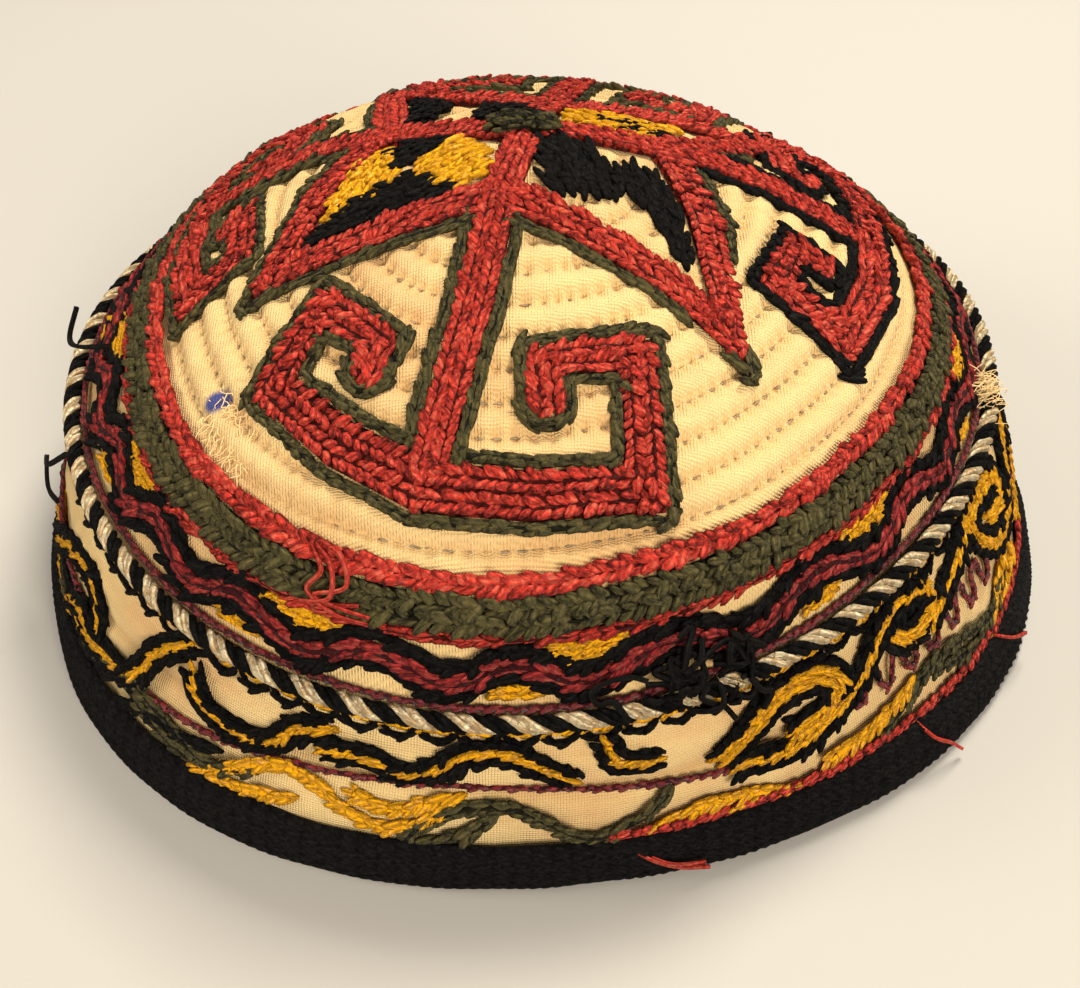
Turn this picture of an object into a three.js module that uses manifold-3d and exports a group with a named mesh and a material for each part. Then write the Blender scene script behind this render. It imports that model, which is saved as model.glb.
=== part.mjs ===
// A quilted and embroidered skullcap that rests on its rim. Millimetres, +Z up, front at -Y.
// The origin is on the resting surface, under the middle of the cap.
import * as THREE from "three";
import { mergeVertices } from "three/addons/utils/BufferGeometryUtils.js";
import Module from "manifold-3d";

const wasm = await Module();
wasm.setup();

// Driving sizes. An arc is a length along the cloth, measured from the middle of the crown.
const clothThickness = 2.4;
const pieceGap = 0.3;
const roundSteps = 52;
const seamArc = 94.2;
const creaseArc = 108;
const ribPitch = 5.4;
const ribCount = 12;
const ribHeight = 0.6;
const firstRibArc = 4;
const cordRadius = 1.55;
const hemHeight = 9.5;
const hemThickness = 2;
const stitchHeight = 1.1;
// The pattern's solids stand this far off the quilting, clear of their own flat facets.
const patternLift = 0.9;

// The outside of the cloth in section, from the middle of the crown down to the rim.
const section = [
  { place: "middle of the crown", radius: 0, height: 79 },
  { place: "crown", radius: 7, height: 78 },
  { place: "crown", radius: 14, height: 75.9 },
  { place: "crown", radius: 28, height: 71.2 },
  { place: "crown", radius: 42, height: 66 },
  { place: "crown shoulder", radius: 55.5, height: 58.9 },
  { place: "border rows", radius: 69, height: 47.8 },
  { place: "cord seam", radius: 77.8, height: 34.6 },
  { place: "side", radius: 82, height: 27 },
  { place: "side crease", radius: 84.4, height: 20 },
  { place: "side", radius: 86.2, height: 11 },
  { place: "rim", radius: 87.8, height: 0 },
];

// How far the cap is from round, as parts of the radius, at three levels.
const outOfRound = [
  { level: "crown", arc: 77, twoCos: 0.018, twoSin: -0.005, threeCos: 0.017, threeSin: -0.024 },
  { level: "seam", arc: seamArc, twoCos: -0.023, twoSin: -0.02, threeCos: 0.028, threeSin: -0.003 },
  { level: "rim", arc: 130, twoCos: -0.017, twoSin: 0.021, threeCos: -0.024, threeSin: -0.027 },
];

// The crown sits a little off the middle of the rim, and rises a little to the back.
const lean = { right: 0.8, back: 0.6, riseToBack: 0.017, seamHeight: 34.6 };

// The middle of the whole cap, from the middle of its section.
const middle = { right: 2.45, back: 2.11 };

// The soft side folds inwards at the front along its stitched line.
const frontFold = { depth: 1.5, halfWidth: 4, reachDegrees: 45 };

const outline = new THREE.CatmullRomCurve3(
  section.map((row) => new THREE.Vector3(row.radius, row.height, 0)),
  false,
  "centripetal",
);
outline.arcLengthDivisions = 800;
const outlineLength = outline.getLength();

function mix(a, b, share) {
  return a + (b - a) * share;
}

function levelAt(arc) {
  const [crown, seam, rim] = outOfRound;
  const [low, high] = arc < seam.arc ? [crown, seam] : [seam, rim];
  const share = THREE.MathUtils.clamp((arc - low.arc) / (high.arc - low.arc), 0, 1);
  return (name) => mix(low[name], high[name], share);
}

function growth(arc, azimuth) {
  const level = levelAt(arc);
  return (
    1 +
    level("twoCos") * Math.cos(2 * azimuth) +
    level("twoSin") * Math.sin(2 * azimuth) +
    level("threeCos") * Math.cos(3 * azimuth) +
    level("threeSin") * Math.sin(3 * azimuth)
  );
}

function foldIn(arc, azimuth) {
  const turned = THREE.MathUtils.radToDeg(Math.atan2(Math.sin(azimuth), Math.cos(azimuth)));
  const across = (arc - creaseArc) / frontFold.halfWidth;
  const round = turned / frontFold.reachDegrees;
  return frontFold.depth * Math.exp(-across * across - round * round);
}

// A point at an arc and an azimuth, lifted off the cloth's outside. Azimuth 0 is the front.
function capPoint(arc, azimuth, lift) {
  const u = THREE.MathUtils.clamp(arc / outlineLength, 0, 1);
  const at = outline.getPointAt(u);
  const along = outline.getTangentAt(u);
  const poleShare = Math.min(arc / 8, 1);
  const raised = lift - foldIn(arc, azimuth);
  const radius = (at.x - along.y * raised * poleShare) * growth(arc, azimuth);
  const height = at.y + along.x * raised;
  const share = THREE.MathUtils.clamp(height / lean.seamHeight, 0, 1);
  const x = radius * Math.sin(azimuth);
  const y = -radius * Math.cos(azimuth);
  return new THREE.Vector3(
    x + share * lean.right,
    y + share * lean.back,
    height + share * lean.riseToBack * y,
  );
}

function arcAtHeight(height) {
  let [low, high] = [0, 1];
  for (let step = 0; step < 30; step++) {
    const middle = (low + high) / 2;
    if (outline.getPointAt(middle).y > height) low = middle;
    else high = middle;
  }
  return low * outlineLength;
}

// A point near the rim at an exact height.
function rimPoint(height, azimuth, lift) {
  const point = capPoint(arcAtHeight(height), azimuth, lift);
  return new THREE.Vector3(point.x, point.y, height);
}

// A point of the crown's flat pattern, x to the right and y to the back, laid on the cap.
function patternPoint([x, y], lift) {
  return capPoint(Math.hypot(x, y), Math.atan2(x, -y), lift);
}

// Joins rows of points into one closed body. A row of one point closes an end.
function skinRows(rows, wrapRows) {
  const positions = [];
  const starts = rows.map((row) => {
    const start = positions.length / 3;
    row.forEach((point) => positions.push(point.x, point.y, point.z));
    return start;
  });
  const faces = [];
  const bands = wrapRows ? rows.length : rows.length - 1;
  for (let r = 0; r < bands; r++) {
    const next = (r + 1) % rows.length;
    const steps = Math.max(rows[r].length, rows[next].length);
    const index = (row, i) => starts[row] + (i % rows[row].length);
    for (let i = 0; i < steps; i++) {
      if (rows[r].length > 1) faces.push(index(r, i), index(next, i), index(r, i + 1));
      if (rows[next].length > 1) faces.push(index(r, i + 1), index(next, i), index(next, i + 1));
    }
  }
  const geometry = new THREE.BufferGeometry();
  geometry.setAttribute("position", new THREE.Float32BufferAttribute(positions, 3));
  geometry.setIndex(faces);
  return geometry;
}

// Sweeps a closed loop of [first, lift] pairs once round the cap.
function ringBody(loop, place = capPoint, steps = roundSteps) {
  const rows = loop.map(([first, lift]) =>
    Array.from({ length: steps }, (_, i) => place(first, (i / steps) * 2 * Math.PI, lift)),
  );
  return skinRows(rows, true);
}

const materials = {};
function finish(name, color, roughness) {
  materials[name] = new THREE.MeshStandardMaterial({ color, roughness, metalness: 0 });
}
finish("cotton", 0xe6d0a0, 0.9);
finish("red thread", 0xa82c2a, 0.75);
finish("green thread", 0x4a4b2c, 0.8);
finish("dark thread", 0x17171b, 0.8);
finish("cord", 0xb8ac94, 0.7);

const cap = new THREE.Group();
function add(name, geometry, material) {
  const mesh = new THREE.Mesh(geometry, materials[material]);
  mesh.name = name;
  cap.add(mesh);
}

// The crown: a quilted dome, ribbed outside by its rings of stitching.
function crown() {
  const quilting = [];
  for (let half = 0; half <= 2 * ribCount; half++) {
    const lift = half % 2 ? ribHeight / 2 : -ribHeight / 2;
    quilting.push([firstRibArc + (half * ribPitch) / 2, lift]);
  }
  const plainOutside = [74, 80, 86.5, seamArc].map((arc) => [arc, 0]);
  const inside = [seamArc, 84, 74, 62, 50, 38, 26, 13].map((arc) => [arc, -clothThickness]);
  const rings = [...quilting, ...plainOutside, ...inside].map(([arc, lift]) =>
    Array.from({ length: roundSteps }, (_, i) =>
      capPoint(arc, (i / roundSteps) * 2 * Math.PI, lift),
    ),
  );
  return skinRows([[capPoint(0, 0, 0)], ...rings, [capPoint(0, 0, -clothThickness)]], false);
}
add("crown", crown(), "cotton");

// The side band: the standing wall under the cord, down into the bound rim.
const bandTopArc = seamArc + pieceGap;
const bandFootHeight = 2.6;
const bandFootArc = arcAtHeight(bandFootHeight);
const bandOutside = [bandTopArc, 98, 103, creaseArc, 112, 118, 123, bandFootArc];
const bandInside = [bandFootArc, 118, creaseArc, 100, bandTopArc];
add(
  "side_band",
  ringBody([
    ...bandOutside.map((arc) => [arc, 0]),
    ...bandInside.map((arc) => [arc, -clothThickness]),
  ]),
  "cotton",
);

// The hem braid: woven tape bound over the foot of the side band, flat where it rests.
function hemBraid() {
  const footTop = bandFootHeight - pieceGap - 0.3;
  const outer = pieceGap + hemThickness;
  return ringBody(
    [
      [hemHeight, pieceGap],
      [hemHeight + 0.5, pieceGap + 0.7],
      [hemHeight - 0.8, outer],
      [hemHeight / 2, outer + 0.3],
      [1, outer],
      [0, outer - 0.9],
      [0, 0.8 - clothThickness],
      [0.8, -clothThickness],
      [footTop, -clothThickness],
      [footTop, pieceGap],
    ],
    rimPoint,
    roundSteps,
  );
}
add("hem_braid", hemBraid(), "dark thread");

// The twisted cord that covers the seam between crown and side band.
function seamCord() {
  const sides = 8;
  const centreLift = pieceGap + cordRadius;
  const loop = Array.from({ length: sides }, (_, i) => {
    const turn = (i / sides) * 2 * Math.PI;
    return [seamArc + cordRadius * Math.sin(turn), centreLift + cordRadius * Math.cos(turn)];
  });
  return ringBody(loop);
}
add("seam_cord", seamCord(), "cord");

// Rows of plaited stitching round the foot of the crown.
const borderRows = [
  { name: "border_row_inner", arc: 72.8, width: 3.2, height: 1.1, material: "red thread" },
  { name: "border_row_green", arc: 77.2, width: 4.8, height: 1.6, material: "green thread" },
  { name: "border_row_outer", arc: 81, width: 1.8, height: 0.9, material: "red thread" },
];
borderRows.forEach(({ name, arc, width, height, material }) => {
  const foot = width / 2;
  const top = width / 2 - 0.5;
  const loop = [
    [arc - foot, pieceGap],
    [arc - top, pieceGap + height],
    [arc + top, pieceGap + height],
    [arc + foot, pieceGap],
  ];
  add(name, ringBody(loop), material);
});

// The zigzag between the border rows and the cord. Its dips are the azimuths of the infilled
// triangles above it: charted where they show, and evenly spaced round the back.
const chartedDips = [-87, -74, -59, -43, -26, -9, 5, 25, 46, 64, 82];
const hiddenDips = 11;
const dipStep = (chartedDips[0] + 360 - chartedDips.at(-1)) / (hiddenDips + 1);
const dips = [
  ...chartedDips,
  ...Array.from({ length: hiddenDips }, (_, i) => chartedDips.at(-1) + (i + 1) * dipStep),
];
const zigzag = { peakArc: 84.6, dipArc: 88, width: 4.4, height: 1 };

function zigzagRow() {
  const centre = [];
  dips.forEach((dip, i) => {
    const next = i + 1 < dips.length ? dips[i + 1] : dips[0] + 360;
    [0, 0.25, 0.5, 0.75].forEach((share) => {
      const arc = mix(zigzag.peakArc, zigzag.dipArc, 0.5 + 0.5 * Math.cos(2 * Math.PI * share));
      centre.push({ arc, azimuth: THREE.MathUtils.degToRad(mix(dip, next, share)) });
    });
  });
  const foot = zigzag.width / 2;
  const top = foot - 0.5;
  const loop = [
    [-foot, pieceGap],
    [-top, pieceGap + zigzag.height],
    [top, pieceGap + zigzag.height],
    [foot, pieceGap],
  ];
  const rows = loop.map(([across, lift]) =>
    centre.map(({ arc, azimuth }) => capPoint(arc + across, azimuth, lift)),
  );
  return skinRows(rows, true);
}
add("shoulder_zigzag", zigzagRow(), "red thread");

// The crown's pattern: four stems that end in ram's horns, and the legs of a star between them.
// Each path runs along the middle of a stitched band, as [to the right, to the back].
const bandWidth = { stem: 8, horn: 10.5, star: 8.5 };
const hornTipWidth = 8.4;
const patternPaths = [
  { part: "stem", side: "front", path: [[-1, 4], [-5, -12], [-8.5, -30], [-16, -58.5]] },
  { part: "horn", side: "front right", path: [[-16, -58.5], [0, -61], [17, -60.5], [16, -40], [1.5, -41], [2, -48]] },
  { part: "horn", side: "front left", path: [[-16, -58.5], [-29, -50.5], [-41, -39.5], [-33, -27.5], [-22.5, -36], [-25, -41]] },
  { part: "stem", side: "right", path: [[-1, 4], [20, 7], [33, 7], [61, 0]] },
  { part: "horn", side: "right, to the front", path: [[61, 0], [60, -12], [53.5, -28], [41, -20.5], [45, -10.5], [51, -13]] },
  { part: "horn", side: "right, to the back", path: [[61, 0], [61, 14], [58, 27], [44, 26], [45, 15], [50, 13]] },
  { part: "stem", side: "back", path: [[-1, 4], [4, 22], [7.5, 36], [11, 56]] },
  { part: "horn", side: "back right", path: [[11, 56], [24, 56], [38, 48], [31, 29], [20, 33], [23, 41]] },
  { part: "horn", side: "back left", path: [[11, 56], [-4, 59], [-21, 56], [-18, 40], [-4, 40], [-4, 47]] },
  { part: "stem", side: "left", path: [[-1, 4], [-15, 11], [-27, 15.5], [-40, 19], [-64, 16]] },
  { part: "horn", side: "left, to the front", path: [[-64, 16], [-66, 0], [-63, -12.5], [-52.5, -7], [-53, 6], [-58, 3]] },
  { part: "horn", side: "left, to the back", path: [[-64, 16], [-60, 28], [-53, 39], [-41, 31], [-47, 23], [-52, 25]] },
  { part: "star", side: "front left", path: [[-6, -11], [-27, -14.6], [-45, -18], [-37, 3], [-27, 14]] },
  { part: "star", side: "front right", path: [[-4, -11], [22, -26], [32.5, -35], [29, -10], [22, 7]] },
  { part: "star", side: "back right", path: [[22, 8], [32, 14], [43, 22], [24, 23], [4, 20]] },
  { part: "star", side: "back left", path: [[3, 20], [-12, 29], [-26, 42], [-25, 28], [-24, 14]] },
];
const longestStep = 8.5;

// A path with extra points, so that no step is long.
function finerPath(path) {
  const finer = [path[0]];
  path.slice(1).forEach(([x, y], i) => {
    const [fromX, fromY] = path[i];
    const steps = Math.ceil(Math.hypot(x - fromX, y - fromY) / longestStep);
    for (let step = 1; step <= steps; step++) {
      finer.push([mix(fromX, x, step / steps), mix(fromY, y, step / steps)]);
    }
  });
  return finer;
}

// The way across a path at one of its points, longer where the path turns so that edges stay level.
function acrossAt(path, i) {
  const way = ([ax, ay], [bx, by]) => new THREE.Vector2(bx - ax, by - ay).normalize();
  const before = way(path[Math.max(i - 1, 0)], path[Math.max(i, 1)]);
  const after = way(path[Math.min(i, path.length - 2)], path[Math.min(i + 1, path.length - 1)]);
  const along = before.clone().add(after).normalize();
  const stretch = 1 / Math.max(along.dot(after), 0.6);
  return new THREE.Vector2(-along.y, along.x).multiplyScalar(stretch);
}

// A stitched band as a solid that follows its path over the crown. Horns narrow to their tips.
function stitchedBand(part, path) {
  const finer = finerPath(path);
  const tipWidth = part === "horn" ? hornTipWidth : bandWidth[part];
  const low = patternLift;
  const rows = finer.map(([x, y], i) => {
    const across = acrossAt(finer, i);
    const share = THREE.MathUtils.clamp((1.6 * i) / (finer.length - 1) - 0.45, 0, 1);
    const foot = mix(bandWidth[part], tipWidth, share) / 2;
    const top = foot - 0.6;
    const corners = [[-foot, low], [-top, low + stitchHeight], [top, low + stitchHeight], [foot, low]];
    return corners.map(([aside, lift]) => patternPoint([x + across.x * aside, y + across.y * aside], lift));
  });
  const last = finer.length - 1;
  const middle = low + stitchHeight / 2;
  return skinRows([[patternPoint(finer[0], middle)], ...rows, [patternPoint(finer[last], middle)]], false);
}

function solidOf(geometry) {
  const merged = mergeVertices(geometry, 1e-4);
  const mesh = new wasm.Mesh({
    numProp: 3,
    vertProperties: merged.attributes.position.array,
    triVerts: new Uint32Array(merged.index.array),
  });
  return new wasm.Manifold(mesh);
}

function geometryOf(solid) {
  const mesh = solid.getMesh();
  const geometry = new THREE.BufferGeometry();
  geometry.setAttribute("position", new THREE.BufferAttribute(mesh.vertProperties, 3));
  geometry.setIndex(new THREE.BufferAttribute(mesh.triVerts, 1));
  return geometry;
}

const pattern = patternPaths
  .map(({ part, path }) => solidOf(stitchedBand(part, path)))
  .reduce((joined, band) => joined.add(band));
add("star_and_horns", geometryOf(pattern), "red thread");

// The small tuft of thread where the stems meet.
function centreTuft() {
  const sides = 12;
  const centre = [-1, 5];
  const low = patternLift + stitchHeight + pieceGap;
  const rings = [
    { radius: 5, lift: low },
    { radius: 4.2, lift: low + 0.8 },
    { radius: 2.2, lift: low + 1.2 },
  ];
  const rows = rings.map(({ radius, lift }) =>
    Array.from({ length: sides }, (_, i) => {
      const turn = (i / sides) * 2 * Math.PI;
      return patternPoint([centre[0] + radius * Math.cos(turn), centre[1] + radius * Math.sin(turn)], lift);
    }),
  );
  const [under, over] = [low, low + 1.3].map((lift) => [patternPoint(centre, lift)]);
  return skinRows([over, ...rows.reverse(), under], false);
}
add("centre_tuft", centreTuft(), "green thread");

cap.position.set(-middle.right, -middle.back, 0);

export default cap;
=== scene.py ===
"""An embroidered skullcap: quilted cotton, rows of plaited stitching, a twisted cord and a bound rim."""

import math

import bpy
import numpy as np
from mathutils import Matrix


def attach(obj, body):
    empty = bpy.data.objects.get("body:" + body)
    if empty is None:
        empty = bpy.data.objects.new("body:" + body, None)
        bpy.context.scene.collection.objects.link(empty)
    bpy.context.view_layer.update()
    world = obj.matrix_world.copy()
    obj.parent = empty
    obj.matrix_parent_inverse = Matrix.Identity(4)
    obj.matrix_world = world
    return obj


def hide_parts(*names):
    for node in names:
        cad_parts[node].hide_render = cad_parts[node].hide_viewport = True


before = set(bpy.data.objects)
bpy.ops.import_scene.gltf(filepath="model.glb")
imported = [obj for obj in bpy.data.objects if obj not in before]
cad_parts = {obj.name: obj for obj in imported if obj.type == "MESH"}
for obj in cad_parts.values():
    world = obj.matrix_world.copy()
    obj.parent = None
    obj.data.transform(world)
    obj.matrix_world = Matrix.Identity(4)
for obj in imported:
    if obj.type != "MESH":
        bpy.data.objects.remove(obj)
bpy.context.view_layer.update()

bl_info = {
    "name": "Embroidered skullcap",
    "version": (1, 0, 0),
    "blender": (4, 5, 0),
    "location": "View3D > Sidebar > Skullcap",
    "description": "Makes a quilted and embroidered skullcap round its solid frame",
    "category": "Object",
}

MM = 0.001
BODY = "root"

# The cap's section and its unevenness, as the solids have them. Arcs are lengths along the cloth
# from the middle of the crown, in millimetres, and azimuth 0 is the front.
SECTION = (
    ("middle of the crown", 0, 79),
    ("crown", 7, 78),
    ("crown", 14, 75.9),
    ("crown", 28, 71.2),
    ("crown", 42, 66),
    ("crown shoulder", 55.5, 58.9),
    ("border rows", 69, 47.8),
    ("cord seam", 77.8, 34.6),
    ("side", 82, 27),
    ("side crease", 84.4, 20),
    ("side", 86.2, 11),
    ("rim", 87.8, 0),
)
# Level, its arc, and the radius's two-lobed and three-lobed growth there.
OUT_OF_ROUND = (
    ("crown", 77, 0.018, -0.005, 0.017, -0.024),
    ("seam", 93, -0.023, -0.02, 0.028, -0.003),
    ("rim", 130, -0.017, 0.021, -0.024, -0.027),
)
LEAN_RIGHT = 0.8
LEAN_BACK = 0.6
RISE_TO_BACK = 0.017
SEAM_HEIGHT = 34.6
SEAM_ARC = 94.2
CREASE_ARC = 108
SECOND_CREASE_ARC = 100.5
SIDE_END_ARC = 127
INNER_ROW_ARC = 72.8
GREEN_ROW_ARC = 77.2
OUTER_ROW_ARC = 80.8
MIDDLE_RIGHT = 2.45
MIDDLE_BACK = 2.11
FOLD_DEPTH = 1.5
FOLD_HALF_WIDTH = 4
FOLD_REACH_DEGREES = 45
WALL = 2.4
RIB_PITCH = 5.4
FIRST_RIB_ARC = 4
LAST_RIB_ARC = 70


def section_table():
    """Arc, radius, height and the outward way, closely spaced down the section."""
    knots = np.array([row[1:] for row in SECTION], float)
    ends = (2 * knots[0] - knots[1], 2 * knots[-1] - knots[-2])
    knots = np.vstack([ends[0], knots, ends[1]])
    share = np.linspace(0, 1, 60, endpoint=False)[:, None]
    runs = []
    for before, start, stop, after in zip(knots, knots[1:], knots[2:], knots[3:]):
        stretches = (start - before, stop - start, after - stop)
        first, middle, last = (math.sqrt(np.linalg.norm(stretch)) for stretch in stretches)
        leave = (start - before) / first - (stop - before) / (first + middle) + (stop - start) / middle
        arrive = (stop - start) / middle - (after - start) / (middle + last) + (after - stop) / last
        leave, arrive = leave * middle, arrive * middle
        bend = 2 * start - 2 * stop + leave + arrive
        lift = -3 * start + 3 * stop - 2 * leave - arrive
        runs.append(start + leave * share + lift * share**2 + bend * share**3)
    curve = np.vstack(runs + [knots[-2][None]])
    steps = np.linalg.norm(np.diff(curve, axis=0), axis=1)
    arc = np.concatenate([[0], np.cumsum(steps)])
    along = np.gradient(curve, arc, axis=0)
    along /= np.linalg.norm(along, axis=1, keepdims=True)
    return arc, curve[:, 0], curve[:, 1], along


ARC, RADIUS, HEIGHT, ALONG = section_table()
RIM_ARC = ARC[-1]
FOOT_ROW_ARC = RIM_ARC - 10.9


def growth(arc, azimuth):
    """How much wider than round the cap is at a place."""
    arcs = [row[1] for row in OUT_OF_ROUND]
    lobes = [np.interp(arc, arcs, [row[i] for row in OUT_OF_ROUND]) for i in (2, 3, 4, 5)]
    return (
        1
        + lobes[0] * np.cos(2 * azimuth)
        + lobes[1] * np.sin(2 * azimuth)
        + lobes[2] * np.cos(3 * azimuth)
        + lobes[3] * np.sin(3 * azimuth)
    )


def cap_points(arc, azimuth, lift=0.0):
    """Points in metres on the cap's cloth, lifted off it by millimetres. Azimuths are in radians."""
    arc, azimuth, lift = np.broadcast_arrays(*(np.asarray(v, float) for v in (arc, azimuth, lift)))
    past = np.maximum(arc - RIM_ARC, 0)
    down = np.interp(arc, ARC, ALONG[:, 1])
    out = np.interp(arc, ARC, ALONG[:, 0])
    turned = np.degrees(np.arctan2(np.sin(azimuth), np.cos(azimuth)))
    across = (arc - CREASE_ARC) / FOLD_HALF_WIDTH
    raised = lift - FOLD_DEPTH * np.exp(-(across**2) - (turned / FOLD_REACH_DEGREES) ** 2)
    radius = np.interp(arc, ARC, RADIUS) - down * raised * np.minimum(arc / 8, 1)
    radius = radius * growth(arc, azimuth)
    height = np.interp(arc, ARC, HEIGHT) + out * raised - past
    share = np.clip(height / SEAM_HEIGHT, 0, 1)
    x = radius * np.sin(azimuth)
    y = -radius * np.cos(azimuth)
    points = np.stack(
        [
            x + share * LEAN_RIGHT - MIDDLE_RIGHT,
            y + share * LEAN_BACK - MIDDLE_BACK,
            height + share * RISE_TO_BACK * y,
        ],
        axis=-1,
    )
    return points * MM


def cap_out(arc, azimuth):
    """The way straight out of the cloth."""
    arc = np.maximum(np.asarray(arc, float), 0.5)
    down = cap_points(arc + 0.4, azimuth) - cap_points(arc - 0.4, azimuth)
    round_ = cap_points(arc, azimuth + 0.01) - cap_points(arc, azimuth - 0.01)
    return unit(np.cross(down, round_))


def unroll(path):
    """Arcs and azimuths of points of the crown's flat pattern, x to the right and y to the back."""
    path = np.asarray(path, float)
    return np.hypot(path[:, 0], path[:, 1]), np.arctan2(path[:, 0], -path[:, 1])


def waves(seed, place, count=7, shortest=6.0, longest=40.0):
    """Smooth, fixed unevenness between about -1 and 1 at points in millimetres."""
    rng = np.random.default_rng(seed)
    total = np.zeros(place.shape[:-1])
    for _ in range(count):
        way = rng.normal(size=place.shape[-1])
        way /= np.linalg.norm(way)
        length = rng.uniform(shortest, longest)
        total += np.sin(place @ way * (2 * math.pi / length) + rng.uniform(0, 6.28))
    return total / math.sqrt(count)


class Wire:
    """A node's output that can be used in sums."""

    def __init__(self, graph, socket):
        self.graph = graph
        self.socket = socket

    def sum(self, operation, first, second=0.0):
        return self.graph.add("ShaderNodeMath", {0: first, 1: second}, operation=operation)[0]

    def __add__(self, other):
        return self.sum("ADD", self, other)

    def __sub__(self, other):
        return self.sum("SUBTRACT", self, other)

    def __rsub__(self, other):
        return self.sum("SUBTRACT", other, self)

    def __mul__(self, other):
        return self.sum("MULTIPLY", self, other)

    def __pow__(self, other):
        return self.sum("POWER", self, other)

    __radd__ = __add__
    __rmul__ = __mul__


class Made:
    """A node whose outputs are taken by name or place."""

    def __init__(self, graph, node):
        self.graph = graph
        self.node = node

    def __getitem__(self, key):
        if isinstance(key, int):
            return Wire(self.graph, self.node.outputs[key])
        named = [s for s in self.node.outputs if s.enabled and s.name == key]
        return Wire(self.graph, named[0])


class Graph:
    """A node tree, built by one method."""

    def __init__(self, tree):
        self.tree = tree

    def add(self, kind, sockets=None, **settings):
        """Adds a node with its settings, and with values or wires on its inputs."""
        node = self.tree.nodes.new(kind)
        for name, value in settings.items():
            setattr(node, name, value)
        for key, value in (sockets or {}).items():
            named = [s for s in node.inputs if s.enabled and s.name == key]
            socket = node.inputs[key] if isinstance(key, int) else named[0]
            if isinstance(value, Wire):
                self.tree.links.new(value.socket, socket)
            else:
                socket.default_value = value
        return Made(self, node)

    def mix(self, share, first, second):
        """Mixes two colours."""
        sockets = {"Factor": share, "A": first, "B": second}
        return self.add("ShaderNodeMix", sockets, data_type="RGBA")["Result"]

    def noise(self, vector, scale, detail=3.0, roughness=0.55):
        sockets = {"Vector": vector, "Scale": scale, "Detail": detail, "Roughness": roughness}
        return self.add("ShaderNodeTexNoise", sockets)[0]

    def soft_step(self, value, low, high):
        """Rises softly from 0 to 1 between two values."""
        sockets = {"Value": value, "From Min": low, "From Max": high}
        return self.add("ShaderNodeMapRange", sockets, interpolation_type="SMOOTHSTEP")[0]

    def ridge(self, value, rate, wobble):
        """A soft-topped ridge that repeats along a value."""
        turn = value * rate + wobble * 1.2
        return turn.sum("SINE", turn) * 0.5 + 0.5

    def attribute(self, name):
        return self.add("ShaderNodeAttribute", attribute_name=name)["Fac"]

    def vector(self, operation, first, second):
        sockets = {0: first, "Scale" if operation == "SCALE" else 1: second}
        return self.add("ShaderNodeVectorMath", sockets, operation=operation)[0]


def rgb(colour):
    return (*colour, 1.0)


def new_material(name):
    """An empty material and its graph."""
    material = bpy.data.materials.new(name)
    material.use_nodes = True
    material.node_tree.nodes.clear()
    return material, Graph(material.node_tree)


SHEEN_ROUGHNESS = 0.45
CLOTH_SPECULAR = 0.08


def close_material(graph, colour, roughness, height, distance, sheen=0.0):
    """Joins colour, roughness and relief in one cloth surface."""
    bump = graph.add("ShaderNodeBump", {"Strength": 1.0, "Distance": distance, "Height": height})
    sockets = {"Base Color": colour, "Roughness": roughness, "Normal": bump["Normal"]}
    surface = graph.add("ShaderNodeBsdfPrincipled", sockets)
    surface.node.inputs["Sheen Weight"].default_value = sheen
    surface.node.inputs["Sheen Roughness"].default_value = SHEEN_ROUGHNESS
    surface.node.inputs["Specular IOR Level"].default_value = CLOTH_SPECULAR
    graph.add("ShaderNodeOutputMaterial", {"Surface": surface[0]})


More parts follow.
